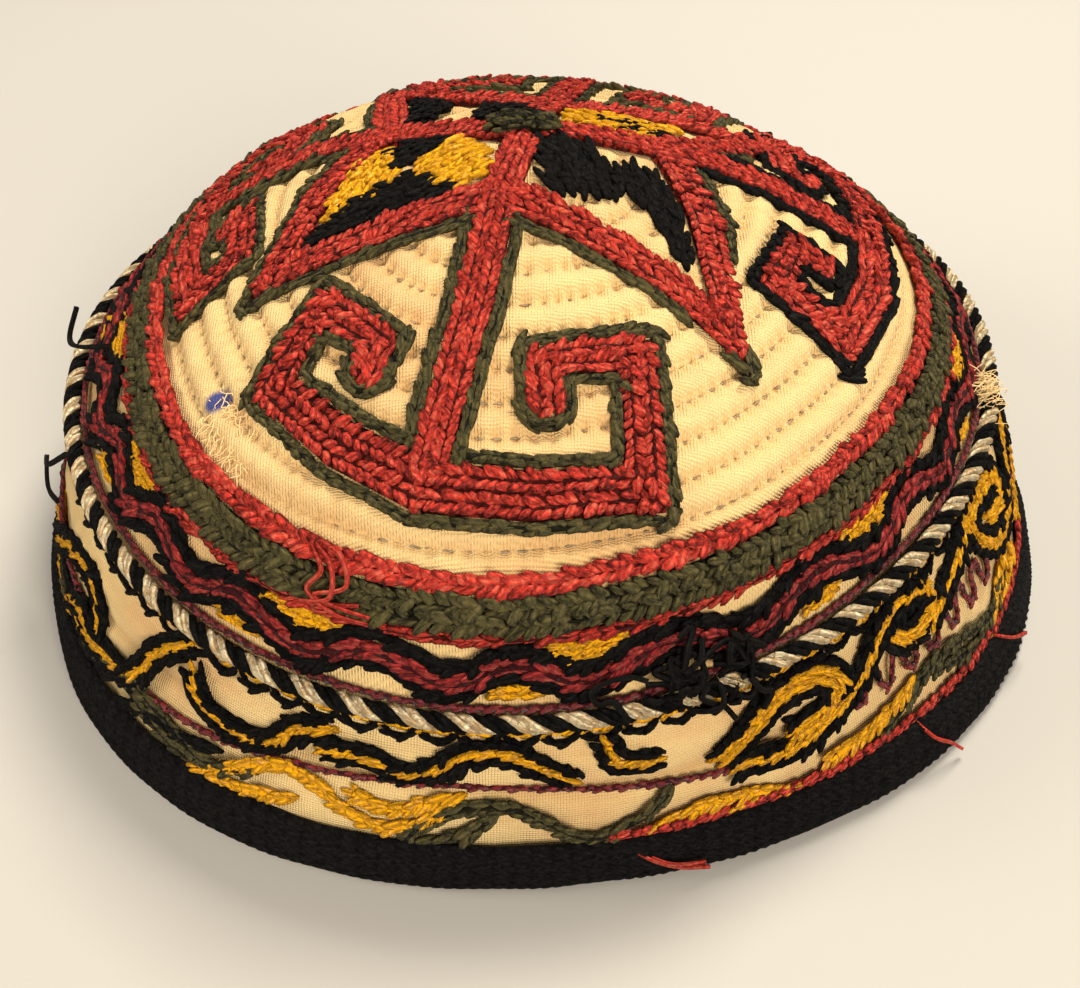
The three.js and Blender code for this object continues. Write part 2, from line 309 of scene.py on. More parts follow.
def thread_material(name, colour, shaded_colour, sheen):
    """Loose floss: fine fibres along each stitch, each stitch its own tone, painted shade in its gaps, ends
    and grooves, and a painted highlight on its brightest fibres.
    """
    material, graph = new_material(name)
    split = graph.add("ShaderNodeSeparateXYZ", {0: graph.add("ShaderNodeTexCoord")["UV"]})
    place = graph.add("ShaderNodeTexCoord")["Object"]
    shade = graph.attribute("shade")
    own = graph.add("ShaderNodeCombineXYZ", {0: split[0] * 3.0, 1: split[1] * 34.0, 2: shade * 40.0})[0]
    fibre = graph.soft_step(graph.noise(own, 1.3, 3.0, 0.65), 0.3, 0.7)
    cloudy = graph.noise(place, 90.0, 2.0)
    astray = graph.add("ShaderNodeTexNoise", {"Vector": place, "Scale": 500.0, "Detail": 2.0})["Color"]
    moved = {"Factor": 0.0016, "A": place, "B": astray}
    cells = {"Vector": graph.add("ShaderNodeMix", moved, data_type="VECTOR")["Result"], "Scale": 640.0}
    # Clumps of floss: they raise the relief, and their edges get painted shade, as in the crevices between
    # them.
    edge = graph.add("ShaderNodeTexVoronoi", cells, feature="DISTANCE_TO_EDGE")["Distance"]
    clump_and_crevice_shade = graph.soft_step(edge, 0.0, 0.28)
    turn = split[1] * (2 * math.pi * 4) + split[0] * 6.0
    ply = graph.ridge(turn, 1.0, fibre * 1.5 + shade * 5.0)
    # Painted shade at both ends of each stitch, where it tucks under its neighbours.
    ends = (split[0].sum("FRACT", split[0]) * 2 - 1) ** 2
    # How light each point is painted: the stitch's own tone, its fibres and a cloudy tone, with painted
    # shade at its ends, in the twist's grooves and in the crevices between clumps, and on the core and the
    # mats through their low shade values.
    light = shade * 0.4 + fibre * 0.45 + ply * 0.2 - ends * 0.35 + cloudy * 0.25 + clump_and_crevice_shade * 0.4
    tone = graph.mix(graph.soft_step(light, 0.1, 1.0), rgb(shaded_colour), rgb(colour))
    # Painted highlight: the brightest fibres are mixed towards a paler, warmer colour, as if the light
    # glanced off them.
    pale = [0.7 * c + 0.3 * max(colour) * tint for c, tint in zip(colour, (1.0, 0.52, 0.3))]
    tone = graph.mix(graph.soft_step(light, 0.75, 1.35) * 0.8, tone, rgb(pale))
    relief = fibre * 0.6 + ply * 0.6 + clump_and_crevice_shade * 1.2
    close_material(graph, tone, 0.85 - fibre * 0.2, relief, 0.0004, sheen)
    return material


THREAD_PITCH = 0.46 * MM
BLUE_STAIN = (0.05, 0.06, 0.22)


def cotton_material(name, colour, stain_and_shade):
    """Plain-woven cream cotton with faint stains, its weave on the cloth's own arcs, with painted shade
    between its threads, in the quilting's grooves and along the side's creases.
    """
    material, graph = new_material(name)
    place = graph.add("ShaderNodeTexCoord")["Object"]
    on_cloth = graph.add("ShaderNodeUVMap", uv_map="weave")[0]
    split = graph.add("ShaderNodeSeparateXYZ", {0: on_cloth})
    wobble = graph.noise(on_cloth, 420.0, 2.0)
    warp = graph.ridge(split[0], 2 * math.pi / THREAD_PITCH, wobble)
    weft = graph.ridge(split[1], 2 * math.pi / THREAD_PITCH, wobble)
    over = graph.ridge(split[0] + split[1], math.pi / THREAD_PITCH, wobble * 0.0)
    weave = (warp * weft) * 0.8 + (warp + weft) * 0.2 + over * 0.08
    drawn_out = graph.add("ShaderNodeMapping", {"Vector": on_cloth, "Scale": (150.0, 1500.0, 1.0)})[0]
    slub = graph.noise(drawn_out, 1.0, 2.0)
    cloudy = graph.noise(place, 28.0, 4.0, 0.6)
    fine = graph.noise(place, 160.0, 3.0, 0.6)
    stain = graph.soft_step(cloudy + fine * 0.25, 0.55, 0.85) * 0.6
    tone = graph.mix(stain + graph.soft_step(cloudy, 0.35, 0.7) * 0.3, rgb(colour), rgb(stain_and_shade))
    grain = graph.soft_step(weave * 0.8 + slub * 0.35, 0.1, 0.75)
    # Painted shade between the weave's threads, where the weave is low, a little darker too where the yarn's
    # slub is thin.
    tone = graph.mix((1 - grain) * 0.4, tone, rgb([c * 0.5 for c in stain_and_shade]))
    # Painted shade in the quilting's grooves and the side's creases, where the puff value is low, in a
    # darker, browner colour.
    groove_shade = (1 - graph.attribute("puff")) * 0.42
    tone = graph.mix(groove_shade, tone, rgb([c * t for c, t in zip(stain_and_shade, (0.85, 0.72, 0.6))]))
    mark = graph.soft_step(graph.attribute("blue_mark") * (0.5 + fine), 0.2, 0.7)
    tone = graph.mix(mark, tone, rgb(BLUE_STAIN))
    height = weave * 0.8 + slub * 0.5 + fine * 0.9
    close_material(graph, tone, 0.9 - grain * 0.1, height, 0.00026, sheen=0.08)
    return material


def lint_material(name, colour):
    """Single fibres of the cloth, too fine for any pattern of their own."""
    material, graph = new_material(name)
    close_material(graph, rgb(colour), 0.9, 0.0, 0.0001)
    return material


def linked(name, data):
    """A new object in the scene that holds a mesh, a curve, a lamp or a camera."""
    made = bpy.data.objects.new(name, data)
    bpy.context.scene.collection.objects.link(made)
    return made


def cap_piece(piece, replaced=()):
    """Hides the solids a piece stands for, and hangs the piece on the cap's body so that it rides on the
    cap.
    """
    for node in replaced:
        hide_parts(node)
    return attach(piece, BODY)


def mesh_object(name, vertices, faces, materials=()):
    mesh = bpy.data.meshes.new(name)
    mesh.from_pydata([tuple(v) for v in vertices], [], [tuple(f) for f in faces])
    mesh.shade_smooth()
    for material in materials:
        mesh.materials.append(material)
    return linked(name, mesh)


def grid_faces(rows, columns, wrap_rows=False):
    """Quads between rows of points that each close in a ring."""
    r = np.arange(rows if wrap_rows else rows - 1)[:, None]
    c = np.arange(columns)[None]
    here, there = r * columns, ((r + 1) % rows) * columns
    right = (c + 1) % columns
    quads = np.stack([here + c, there + c, there + right, here + right], axis=-1)
    return quads.reshape(-1, 4)


def set_float(mesh, name, values):
    """Keeps a number for each point."""
    layer = mesh.attributes.new(name, "FLOAT", "POINT")
    layer.data.foreach_set("value", np.asarray(values, np.float32).ravel())


def set_uv(mesh, name, coordinates, wrap=None):
    """Gives each corner its vertex's pair of coordinates. Faces over a wrap's join stay whole."""
    layer = mesh.uv_layers.new(name=name)
    corners = np.empty(len(mesh.loops), np.int32)
    mesh.loops.foreach_get("vertex_index", corners)
    uv = np.asarray(coordinates, np.float32)[corners]
    if wrap:
        quads = uv.reshape(-1, 4, 2)
        u = quads[..., 0]
        split = np.ptp(u, axis=1) > wrap / 2
        u[split] += np.where(u[split] < u[split].mean(1, keepdims=True), wrap, 0)
    layer.data.foreach_set("uv", uv.ravel())


def ring_azimuths(columns):
    """Azimuths once round, starting at the back."""
    return (np.arange(columns) / columns * 2 - 1) * math.pi


def quilting_drift(around):
    """How far the hand-sewn quilting lines stray from true rings."""
    return 0.35 * np.sin(3 * around + 0.6) + 0.3 * np.sin(5 * around + 2.0) + 0.15 * np.sin(11 * around)


def quilting(arc, around, sizes):
    """Lift of the quilted crown and how full it is there, 0 in the stitched lines and 1 between."""
    line = (arc + quilting_drift(around) - FIRST_RIB_ARC) / RIB_PITCH
    off_line = np.abs(line - np.round(line)) * 2
    ring = np.round(line)
    stitches = np.maximum(np.round(2 * math.pi * (FIRST_RIB_ARC + ring * RIB_PITCH) / sizes.stitch_gap), 6)
    uneven = 1.4 * np.sin(around * 7 + ring) + 0.9 * np.sin(around * 17 + 2 * ring)
    beat = 0.5 + 0.5 * np.cos(around * stitches + uneven + ring * 2.1)
    close = np.exp(-((off_line / 0.5) ** 2))
    full = 1 - (1 - np.clip(off_line + 0.23 * close * (0.6 - beat), 0, 1)) ** 2.4
    lift = sizes.puff_height * (full - 0.6) - 0.28 * close * beat
    lift = lift + 0.1 * np.sin(around * stitches * 0.5 + ring * 1.7 + 3 * np.sin(around * 9)) * (1 - close)
    full = full * (1 - 0.2 * close * beat)
    inside = (arc > FIRST_RIB_ARC - 1) & (arc < LAST_RIB_ARC)
    fade = np.clip((LAST_RIB_ARC + 2 - arc) / 3, 0, 1) * np.clip((arc - 1) / 3, 0, 1)
    return np.where(inside, lift, 0) * fade, np.where(inside, full, 0.8)


def wall_rings(outer, inner, azimuth, lift):
    """Points of a cloth wall, ring by ring: its lifted outside, then its plain inside."""
    outside = cap_points(*np.meshgrid(outer, azimuth, indexing="ij"), lift)
    inside = cap_points(*np.meshgrid(inner, azimuth, indexing="ij"), -WALL)
    return np.vstack([outside.reshape(-1, 3), inside.reshape(-1, 3)])


# The worn place on the crown's left, in flat millimetres with y to the front.
WORN_PLACE = (-53.0, 38.0)


def crown_cloth(sizes, material):
    """The quilted dome, its stitched lines pulled down, with its plain inside."""
    columns = 520
    outer = np.concatenate([np.arange(0.7, 74, 0.75), np.arange(74.5, SEAM_ARC + 0.6, 2.4)])
    inner = np.linspace(SEAM_ARC + 0.5, 3, 26)
    azimuth = ring_azimuths(columns)
    arcs, turns = np.meshgrid(outer, azimuth, indexing="ij")
    lift, full = quilting(arcs, turns, sizes)
    flat = np.stack([arcs * np.sin(turns), arcs * np.cos(turns)], axis=-1)
    lift = lift + 0.3 * waves(3, flat, count=9, shortest=14, longest=60)
    lift = lift + 0.07 * waves(5, flat, count=10, shortest=2.4, longest=6)
    place = (flat * (1, -1)).reshape(-1, 2)
    gap = np.min([gap_to(place, part, half, path) for part, _, half, path in PATTERN], axis=0)
    open_ground = np.minimum(gap.reshape(arcs.shape) + 0.3, LAST_RIB_ARC + 1.5 - arcs)
    lift = (lift + 0.3) * np.clip(open_ground / 2.2, 0, 1) - 0.3
    rings = wall_rings(outer, inner, azimuth, lift)
    poles = np.vstack([cap_points(0, 0, lift[0].mean())[None], cap_points(0, 0, -WALL)[None]])
    rows = len(outer) + len(inner)
    top, under = len(rings), len(rings) + 1
    last = (rows - 1) * columns
    faces = [tuple(f) for f in grid_faces(rows, columns)]
    faces += [(top, c, (c + 1) % columns) for c in range(columns)]
    faces += [(last + (c + 1) % columns, last + c, under) for c in range(columns)]
    vertices = np.vstack([rings, poles])
    piece = mesh_object("crown_cloth", vertices, faces, [material])
    worn = flat - np.array(WORN_PLACE)
    worn_place_unshaded = np.exp(-((worn[..., 0] / 8.0) ** 2) - (worn[..., 1] / 9.0) ** 2)
    stain = np.exp(-((worn[..., 0] / 3.0) ** 2) - (worn[..., 1] / 2.2) ** 2)
    rest = np.ones(len(inner) * columns + len(poles))
    # The puff value sets the painted shade in the quilting's grooves; at the worn place it is kept full, so
    # no shade is painted there, and the inside gets a little painted shade.
    set_float(piece.data, "puff", np.concatenate([np.maximum(full, worn_place_unshaded).ravel(), 0.7 * rest]))
    set_float(piece.data, "blue_mark", np.concatenate([stain.ravel(), 0 * rest]))
    set_uv(piece.data, "weave", vertices[:, :2])
    return cap_piece(piece, ["crown"])


SIDE_RADIUS = 85


def side_cloth(material):
    """The standing side wall, soft and a little uneven, with its stitched crease."""
    columns = 540
    outer = np.linspace(SEAM_ARC + 0.4, SIDE_END_ARC, 44)
    inner = np.linspace(SIDE_END_ARC, SEAM_ARC + 0.4, 14)
    azimuth = ring_azimuths(columns)
    arcs, turns = np.meshgrid(outer, azimuth, indexing="ij")
    place = np.stack([SIDE_RADIUS * np.sin(turns), SIDE_RADIUS * np.cos(turns), arcs], axis=-1)
    line = CREASE_ARC + 1.2 * waves(21, place, count=5, shortest=60, longest=160)
    crease = np.exp(-(((arcs - line) / 1.4) ** 2))
    second = np.exp(-(((arcs - SECOND_CREASE_ARC) / 1.1) ** 2))
    lift = 0.45 * waves(11, place, count=9, shortest=12, longest=60)
    lift = lift + 0.12 * waves(13, place, count=9, shortest=3, longest=8)
    lift = lift - 0.6 * crease - 0.25 * second + 0.35 * np.cos((arcs - 97) / 5.5)
    fade = np.clip((arcs - SEAM_ARC - 1) / 4, 0, 1) * np.clip((SIDE_END_ARC - 1 - arcs) / 4, 0, 1)
    vertices = wall_rings(outer, inner, azimuth, lift * fade)
    faces = grid_faces(len(outer) + len(inner), columns, wrap_rows=True)
    piece = mesh_object("side_cloth", vertices, faces, [material])
    # The puff value paints shade along the two creases; the inside gets a little painted shade.
    full = 1 - 0.8 * crease - 0.4 * second
    rest = np.full(len(inner) * columns, 0.8)
    set_float(piece.data, "puff", np.concatenate([full.ravel(), rest]))
    set_float(piece.data, "blue_mark", np.zeros(len(vertices)))
    flat = np.stack(np.meshgrid(azimuth * SIDE_RADIUS, np.concatenate([outer, inner])), axis=-1)
    set_uv(piece.data, "weave", flat.reshape(-1, 2) * MM, wrap=2 * math.pi * SIDE_RADIUS * MM)
    return cap_piece(piece, ["side_band"])


# One stitch's places along it and widths there, as parts of its size.
LARGE_STITCH = (("heel", -0.42, 0.55), ("belly", -0.16, 0.95), ("belly", 0.14, 1.0), ("toe", 0.4, 0.6))
SMALL_STITCH = (("heel", -0.36, 0.7), ("belly", 0.0, 1.0), ("toe", 0.36, 0.7))
LARGE_STITCH_WIDTH = 1.45


def stitch_mesh(name, profile, sides):
    """One stitch: a little bundle of floss along X, a unit long, pointed at both ends."""
    vertices = [(-0.5, 0, -0.1)]
    uvs = [(0.0, 0.5)]
    for _, x, wide in profile:
        for side in range(sides):
            turn = 2 * math.pi * side / sides
            vertices.append((x, 0.5 * wide * math.cos(turn), 0.5 * wide * math.sin(turn)))
            uvs.append((x + 0.5, side / sides))
    vertices.append((0.5, 0, -0.1))
    uvs.append((1.0, 0.5))
    last = len(vertices) - 1
    faces = [(0, 1 + (s + 1) % sides, 1 + s) for s in range(sides)]
    faces += (grid_faces(len(profile), sides)[:, ::-1] + 1).tolist()
    start = 1 + (len(profile) - 1) * sides
    faces += [(start + s, start + (s + 1) % sides, last) for s in range(sides)]
    piece = mesh_object(name, vertices, faces)
    set_uv(piece.data, "UVMap", uvs)
    return piece


LENGTHS = ("Step", "Stitch Length", "Row Width", "Stitch Width", "Stitch Height", "Core Radius")
NUMBERS = ("Slant", "Dip", "Unevenness")
ROW_SIZES = (*LENGTHS, *NUMBERS, "Seed")
ROW_INPUTS = (
    ("Guide", "NodeSocketGeometry"),
    ("Stitch", "NodeSocketObject"),
    *((name, "NodeSocketFloat") for name in (*LENGTHS, *NUMBERS)),
    ("Seed", "NodeSocketInt"),
    ("Thread", "NodeSocketMaterial"),
)

# The kinds of row: lengths in millimetres, angles in radians, in the order of ROW_SIZES. The
# quilting's step and length here are for its first stitch gap and follow that setting.
STITCHES = {
    "plait": (1.5, 3.1, 2.7, 1.5, 1.15, 0.3, 0.5, 0.28, 0.25, 1),
    "wide plait": (1.5, 3.1, 3.2, 1.5, 1.15, 0.3, 0.58, 0.28, 0.33, 1),
    "outline": (1.9, 4.4, 1.1, 1.48, 1.3, 0.7, 0.17, 0.24, 0.2, 4),
    "patch": (2.0, 4.2, 1.5, 1.6, 1.1, 0.6, 0.3, 0.2, 0.25, 7),
    "border twist": (1.7, 4.3, 2.5, 1.9, 1.4, 0.3, 0.42, 0.2, 0.26, 11),
    "border plait": (1.9, 3.7, 2.5, 1.65, 1.4, 0.3, 0.6, 0.2, 0.3, 12),
    "border line": (2.0, 5.0, 1.0, 1.4, 1.2, 0.6, 0.2, 0.2, 0.2, 13),
    "zigzag": (1.7, 5.2, 2.2, 1.5, 1.3, 0.8, 0.2, 0.2, 0.2, 14),
    "zigzag edge": (1.7, 4.0, 1.5, 1.5, 1.3, 0.8, 0.3, 0.2, 0.3, 15),
    "triangle": (1.9, 3.2, 0.6, 1.3, 1.1, 0.6, 0.25, 0.2, 0.16, 16),
    "seam line": (2.0, 2.8, 0.3, 1.1, 0.9, 0.5, 0.2, 0.2, 0.16, 17),
    "vine": (1.8, 4.2, 0.9, 1.2, 1.1, 0.6, 0.18, 0.2, 0.2, 21),
    "vine edge": (1.7, 3.4, 1.1, 1.4, 1.3, 0.8, 0.35, 0.2, 0.35, 22),
    "half dot": (2.2, 2.9, 0.4, 1.2, 0.9, 0.5, 0.2, 0.2, 0.16, 23),
    "leaf": (1.8, 4.0, 2.0, 1.5, 1.0, 0.6, 0.3, 0.2, 0.25, 24),
    "side line": (2.0, 2.6, 0.3, 1.1, 0.9, 0.45, 0.3, 0.2, 0.16, 25),
    "foot line": (2.0, 2.6, 0.8, 2.0, 0.9, 0.45, 0.3, 0.2, 0.16, 25),
    "quilting": (5.2, 1.87, 0.0, 0.42, 0.34, 0.05, 0.05, 0.0, 0.08, 31),
    "tuft": (1.4, 3.0, 1.5, 1.3, 1.2, 1.0, 0.5, 0.2, 0.4, 32),
}


def row_of_stitches_tree():
    """Nodes that lay slanted stitches in two files along guide lines, over a thin core."""
    tree = bpy.data.node_groups.new("row_of_stitches", "GeometryNodeTree")
    tree.interface.new_socket("Geometry", in_out="OUTPUT", socket_type="NodeSocketGeometry")
    for name, kind in ROW_INPUTS:
        tree.interface.new_socket(name, in_out="INPUT", socket_type=kind)
    graph = Graph(tree)
    given = graph.add("NodeGroupInput")
    uneven = given["Unevenness"]
    line = graph.add("GeometryNodeMeshToCurve", {"Mesh": given["Guide"]})["Curve"]
    stepped = {"Curve": line, "Length": given["Step"]}
    line = graph.add("GeometryNodeResampleCurve", stepped, mode="LENGTH")["Curve"]
    tangent = graph.add("GeometryNodeInputTangent")[0]
    out = graph.add("GeometryNodeInputNamedAttribute", {"Name": "out"}, data_type="FLOAT_VECTOR")[0]
    aside = graph.vector("CROSS_PRODUCT", out, tangent)
    ways = {0: tangent, 1: out}
    facing = graph.add("FunctionNodeAxesToRotation", ways, primary_axis="X", secondary_axis="Z")[0]
    stitch = graph.add("GeometryNodeObjectInfo", {"Object": given["Stitch"]})["Geometry"]
    files = []
    for number, side in enumerate((-1.0, 1.0)):
        seed = given["Seed"] + number * 17
        between = {0: (-1.0, -1.0, -1.0), 1: (1.0, 1.0, 1.0), 8: seed}
        jitter = graph.add("FunctionNodeRandomValue", between, data_type="FLOAT_VECTOR")[0]
        apart = graph.add("ShaderNodeSeparateXYZ", {0: jitter})
        slant = given["Slant"] * -side + apart[2] * uneven
        dip = given["Dip"] + apart[1] * uneven * 0.5
        lean = graph.add("ShaderNodeCombineXYZ", {0: apart[0] * uneven, 1: dip, 2: slant})[0]
        lean = graph.add("FunctionNodeEulerToRotation", {0: lean})[0]
        turned = graph.add("FunctionNodeRotateRotation", {0: facing, 1: lean}, rotation_space="LOCAL")[0]
        shift = graph.vector("SCALE", aside, given["Row Width"] * (0.25 * side))
        rise = graph.vector("SCALE", out, given["Stitch Height"] * (apart[2] * uneven))
        stagger = given["Step"] * (0.25 * side) + apart[0] * given["Step"] * 0.2
        slide = graph.vector("SCALE", tangent, stagger)
        offset = graph.vector("ADD", graph.vector("ADD", shift, rise), slide)
        spots = graph.add("GeometryNodeSetPosition", {"Geometry": line, "Offset": offset})[0]
        plump = 1 + apart[1] * uneven
        length, width = given["Stitch Length"] * plump, given["Stitch Width"] * plump
        size = graph.add("ShaderNodeCombineXYZ", {0: length, 1: width, 2: given["Stitch Height"]})[0]
        sockets = {"Points": spots, "Instance": stitch, "Rotation": turned, "Scale": size}
        placed = graph.add("GeometryNodeInstanceOnPoints", sockets)[0]
        between = {2: 0.0, 3: 1.0, 8: seed + 5}
        shade = graph.add("FunctionNodeRandomValue", between, data_type="FLOAT")["Value"]
        files.append(stored_shade(graph, placed, shade, "INSTANCE"))
    sockets = {"Resolution": 4, "Radius": given["Core Radius"]}
    ring = graph.add("GeometryNodeCurvePrimitiveCircle", sockets)[0]
    core = graph.add("GeometryNodeCurveToMesh", {"Curve": line, "Profile Curve": ring, "Fill Caps": True})[0]
    join = graph.add("GeometryNodeJoinGeometry")
    # The core is painted in full shade, as the dark between the two files.
    for piece in [stored_shade(graph, core, -1.0, "POINT"), *files]:
        tree.links.new(piece.socket, join.node.inputs[0])
    real = graph.add("GeometryNodeRealizeInstances", {"Geometry": join[0]})[0]
    dressed = graph.add("GeometryNodeSetMaterial", {"Geometry": real, "Material": given["Thread"]})[0]
    graph.add("NodeGroupOutput", {0: dressed})
    return tree


def stored_shade(graph, geometry, shade, domain):
    """Keeps a shade value for the thread's material: a random tone for each stitch, and for the core a low
    value that paints it in shade.
    """
    sockets = {"Geometry": geometry, "Name": "shade", "Value": shade}
    return graph.add("GeometryNodeStoreNamedAttribute", sockets, data_type="FLOAT", domain=domain)[0]


def laid_line(arc, azimuth, lift):
    """A guide line on the cloth: its points in metres and the way out at each."""
    return cap_points(arc, azimuth, lift), cap_out(arc, azimuth)


def guide_object(name, lines):
    """Guide lines as one mesh of edges, with the way out stored at each point."""
    points, outs, edges = [], [], []
    for line, out in lines:
        start = sum(len(p) for p in points)
        points.append(line)
        outs.append(out)
        edges += [(start + i, start + i + 1) for i in range(len(line) - 1)]
    mesh = bpy.data.meshes.new(name)
    mesh.from_pydata([tuple(v) for v in np.vstack(points)], edges, [])
    layer = mesh.attributes.new("out", "FLOAT_VECTOR", "POINT")
    layer.data.foreach_set("vector", np.vstack(outs).astype(np.float32).ravel())
    return linked(name, mesh)


def plain_copy(name, source):
    """The evaluated piece as a plain mesh in one material, and its source removed."""
    bpy.context.view_layer.update()
    evaluated = source.evaluated_get(bpy.context.evaluated_depsgraph_get())
    mesh = bpy.data.meshes.new_from_object(evaluated)
    mesh.name = name
    material = [m for m in mesh.materials if m][0]
    mesh.materials.clear()
    mesh.materials.append(material)
    mesh.polygons.foreach_set("material_index", np.zeros(len(mesh.polygons), np.int32))
    mesh.shade_smooth()
    bpy.data.objects.remove(source)
    return linked(name, mesh)


def stitch_rows(name, lines, thread, kind, replaced=(), **changes):
    """Lays one kind of row along lines, with any changes to its sizes, as a plain piece of the cap."""
    guide = guide_object(name + "_guide", lines)
    tree = bpy.data.node_groups.get("row_of_stitches") or row_of_stitches_tree()
    wanted = {**dict(zip(ROW_SIZES, STITCHES[kind])), **changes}
    if wanted["Stitch Width"] > LARGE_STITCH_WIDTH:
        stitch = bpy.data.objects.get("large_stitch") or stitch_mesh("large_stitch", LARGE_STITCH, 5)
    else:
        stitch = bpy.data.objects.get("small_stitch") or stitch_mesh("small_stitch", SMALL_STITCH, 4)
    wanted.update({length: wanted[length] * MM for length in LENGTHS})
    wanted.update(Stitch=stitch, Thread=shared_material(thread))
    modifier = guide.modifiers.new("rows", "NODES")
    modifier.node_group = tree
    for item in tree.interface.items_tree:
        if item.in_out == "INPUT" and item.name in wanted:
            modifier[item.identifier] = wanted[item.name]
    return cap_piece(plain_copy(name, guide), replaced)


def distances_along(path):
    """How far along a path each of its points is."""
    return np.concatenate([[0], np.cumsum(np.linalg.norm(np.diff(path, axis=0), axis=1))])


def unit(ways):
    """Directions, each of length one."""
    return ways / np.linalg.norm(ways, axis=-1, keepdims=True)


def finer(path, step=1.5):
    """A path of flat points with more points between them."""
    path = np.asarray(path, float)
    at = distances_along(path)
    count = max(int(round(at[-1] / step)), 1)
    where = np.unique(np.concatenate([np.linspace(0, at[-1], count + 1), at]))
    return np.stack([np.interp(where, at, path[:, i]) for i in (0, 1)], axis=-1)


def offset_path(path, aside):
    """A path moved sideways, by one distance or one for each point, its corners kept sharp."""
    path = np.asarray(path, float)
    ways = unit(np.diff(path, axis=0))
    after = np.vstack([ways, ways[-1:]])
    along = unit(np.vstack([ways[:1], ways]) + after)
    stretch = 1 / np.maximum((along * after).sum(1), 0.55)
    across = np.stack([-along[:, 1], along[:, 0]], axis=-1)
    return path + across * (aside * stretch)[:, None]


def smooth_path(path, step=1.2, count=None):
    """A smooth curve through points, in steps of a length or in a number to each stretch."""
    path = np.asarray(path, float)
    ends = np.vstack([2 * path[0] - path[1], path, 2 * path[-1] - path[-2]])
    runs = []
    for a, b, c, d in zip(ends, ends[1:], ends[2:], ends[3:]):
        steps = count or max(int(np.linalg.norm(c - b) / step), 2)
        t = np.linspace(0, 1, steps, endpoint=False)[:, None]
        bend = 2 * a - 5 * b + 4 * c - d
        twist = 3 * b - a - 3 * c + d
        runs.append(0.5 * (2 * b + (c - a) * t + bend * t**2 + twist * t**3))
    return np.vstack(runs + [path[-1:]])


# The crown's pattern as the solids have it: middles of the red bands, in flat millimetres.
# Part, where it is, half of the red width, and the points of its path.
PATTERN = (
    ("stem", "front", 2.8, ((-1, 2), (-5, -12), (-8.5, -30), (-15.5, -57))),
    ("horn", "front", 3.6, ((-16, -58.5), (0, -61), (17, -60.5), (16, -40), (1.5, -41), (2, -48.5))),
    (
        "horn",
        "front",
        3.6,
        ((-16, -58.5), (-29, -50.5), (-41, -39.5), (-33, -27.5), (-22.5, -36), (-25, -41)),
    ),
    ("stem", "right", 2.8, ((1, 4), (20, 7), (33, 7), (59, 0.5))),
    ("horn", "right", 3.4, ((61, 0), (60, -12), (53.5, -28), (41, -20.5), (45, -10.5), (51, -13))),
    ("horn", "right", 3.4, ((61, 0), (61, 14), (58, 27), (44, 26), (45, 15), (50, 13))),
    ("stem", "back", 2.8, ((-1, 7), (4, 22), (7.5, 36), (11, 54.5))),
    ("horn", "back", 3.6, ((11, 56), (24, 56), (38, 48), (31, 29), (20, 33), (23, 41))),
    ("horn", "back", 3.6, ((11, 56), (-4, 59), (-21, 56), (-18, 40), (-4, 40), (-4, 47))),
    ("stem", "left", 2.8, ((-3, 4), (-15, 11), (-27, 15.5), (-40, 19), (-62, 16.5))),
    ("horn", "left", 3.6, ((-64, 16), (-66, 0), (-63, -12.5), (-52.5, -7), (-53, 6), (-58, 3))),
    ("horn", "left", 3.6, ((-64, 16), (-60, 28), (-53, 39), (-41, 31), (-47, 23), (-52, 25))),
    ("star", "front left", 2.9, ((-6, -11), (-27, -14.6), (-45, -18), (-37, 3), (-27, 14))),
    ("star", "front right", 2.9, ((-4, -11), (22, -26), (32.5, -35), (29, -10), (22, 7))),
    ("star", "back right", 2.6, ((22, 8), (32, 14), (43, 22), (24, 23), (4, 20))),
    ("star", "back left", 2.9, ((3, 20), (-12, 29), (-26, 42), (-25, 28), (-24, 14))),
)

# A horn's width at its tip, as a part of its full width.
HORN_TIP_SHARE = 0.62
# How far an outline's middle stays from its band's edge, how much nearer it may come in a bend,
# and how far it stays from any other band.
OUTLINE_AWAY = 1.15
OUTLINE_SLACK = 0.4
OUTLINE_CLEAR = 0.9


def band_halves(part, half, path):
    """Half the red width at each point of a path. Horns get narrower towards their tips."""
    path = np.asarray(path, float)
    at = distances_along(path)
    share = np.clip(at / at[-1] * 1.6 - 0.45, 0, 1)
    return half * (1 - (1 - HORN_TIP_SHARE) * share) if part == "horn" else np.full(len(path), half)


# The infilled patches inside the star's points: thread, the way its rows run in degrees, outline.
PATCHES = (
    ("yellow", 20, ((-7, -6), (-10, 3), (-14, 5), (-21, 0.5), (-14, -6), (-10, -8))),
    ("black", 15, ((-10, 5), (-20, 9), (-25, 11), (-24, 2), (-17, 4))),
    ("yellow", 60, ((-25, 10), (-31, 7), (-37, -8), (-30, -4), (-23, 0))),
    ("black", 15, ((-22, -0.5), (-14, -7), (-12, -9), (-38, -12), (-32, -5))),
    ("black", -60, ((1, 1.5), (8, 1), (13, -4), (13.5, -9.5), (2, -11))),
    ("black", -68, ((12.5, -6), (16, -2), (22.5, -3), (26, -19), (24.5, -22), (19.5, -11))),
    ("black", 80, ((-1, 6), (2, 19), (-9, 21), (-10, 14), (-6, 9))),
    ("black", 75, ((-20, 34), (-13, 24), (-17, 19), (-22, 18))),
    ("yellow", 30, ((6, 10), (20, 10), (26, 17), (8, 19))),
    ("black", 10, ((12, 11), (24, 12), (20, 16), (13, 14))),
)


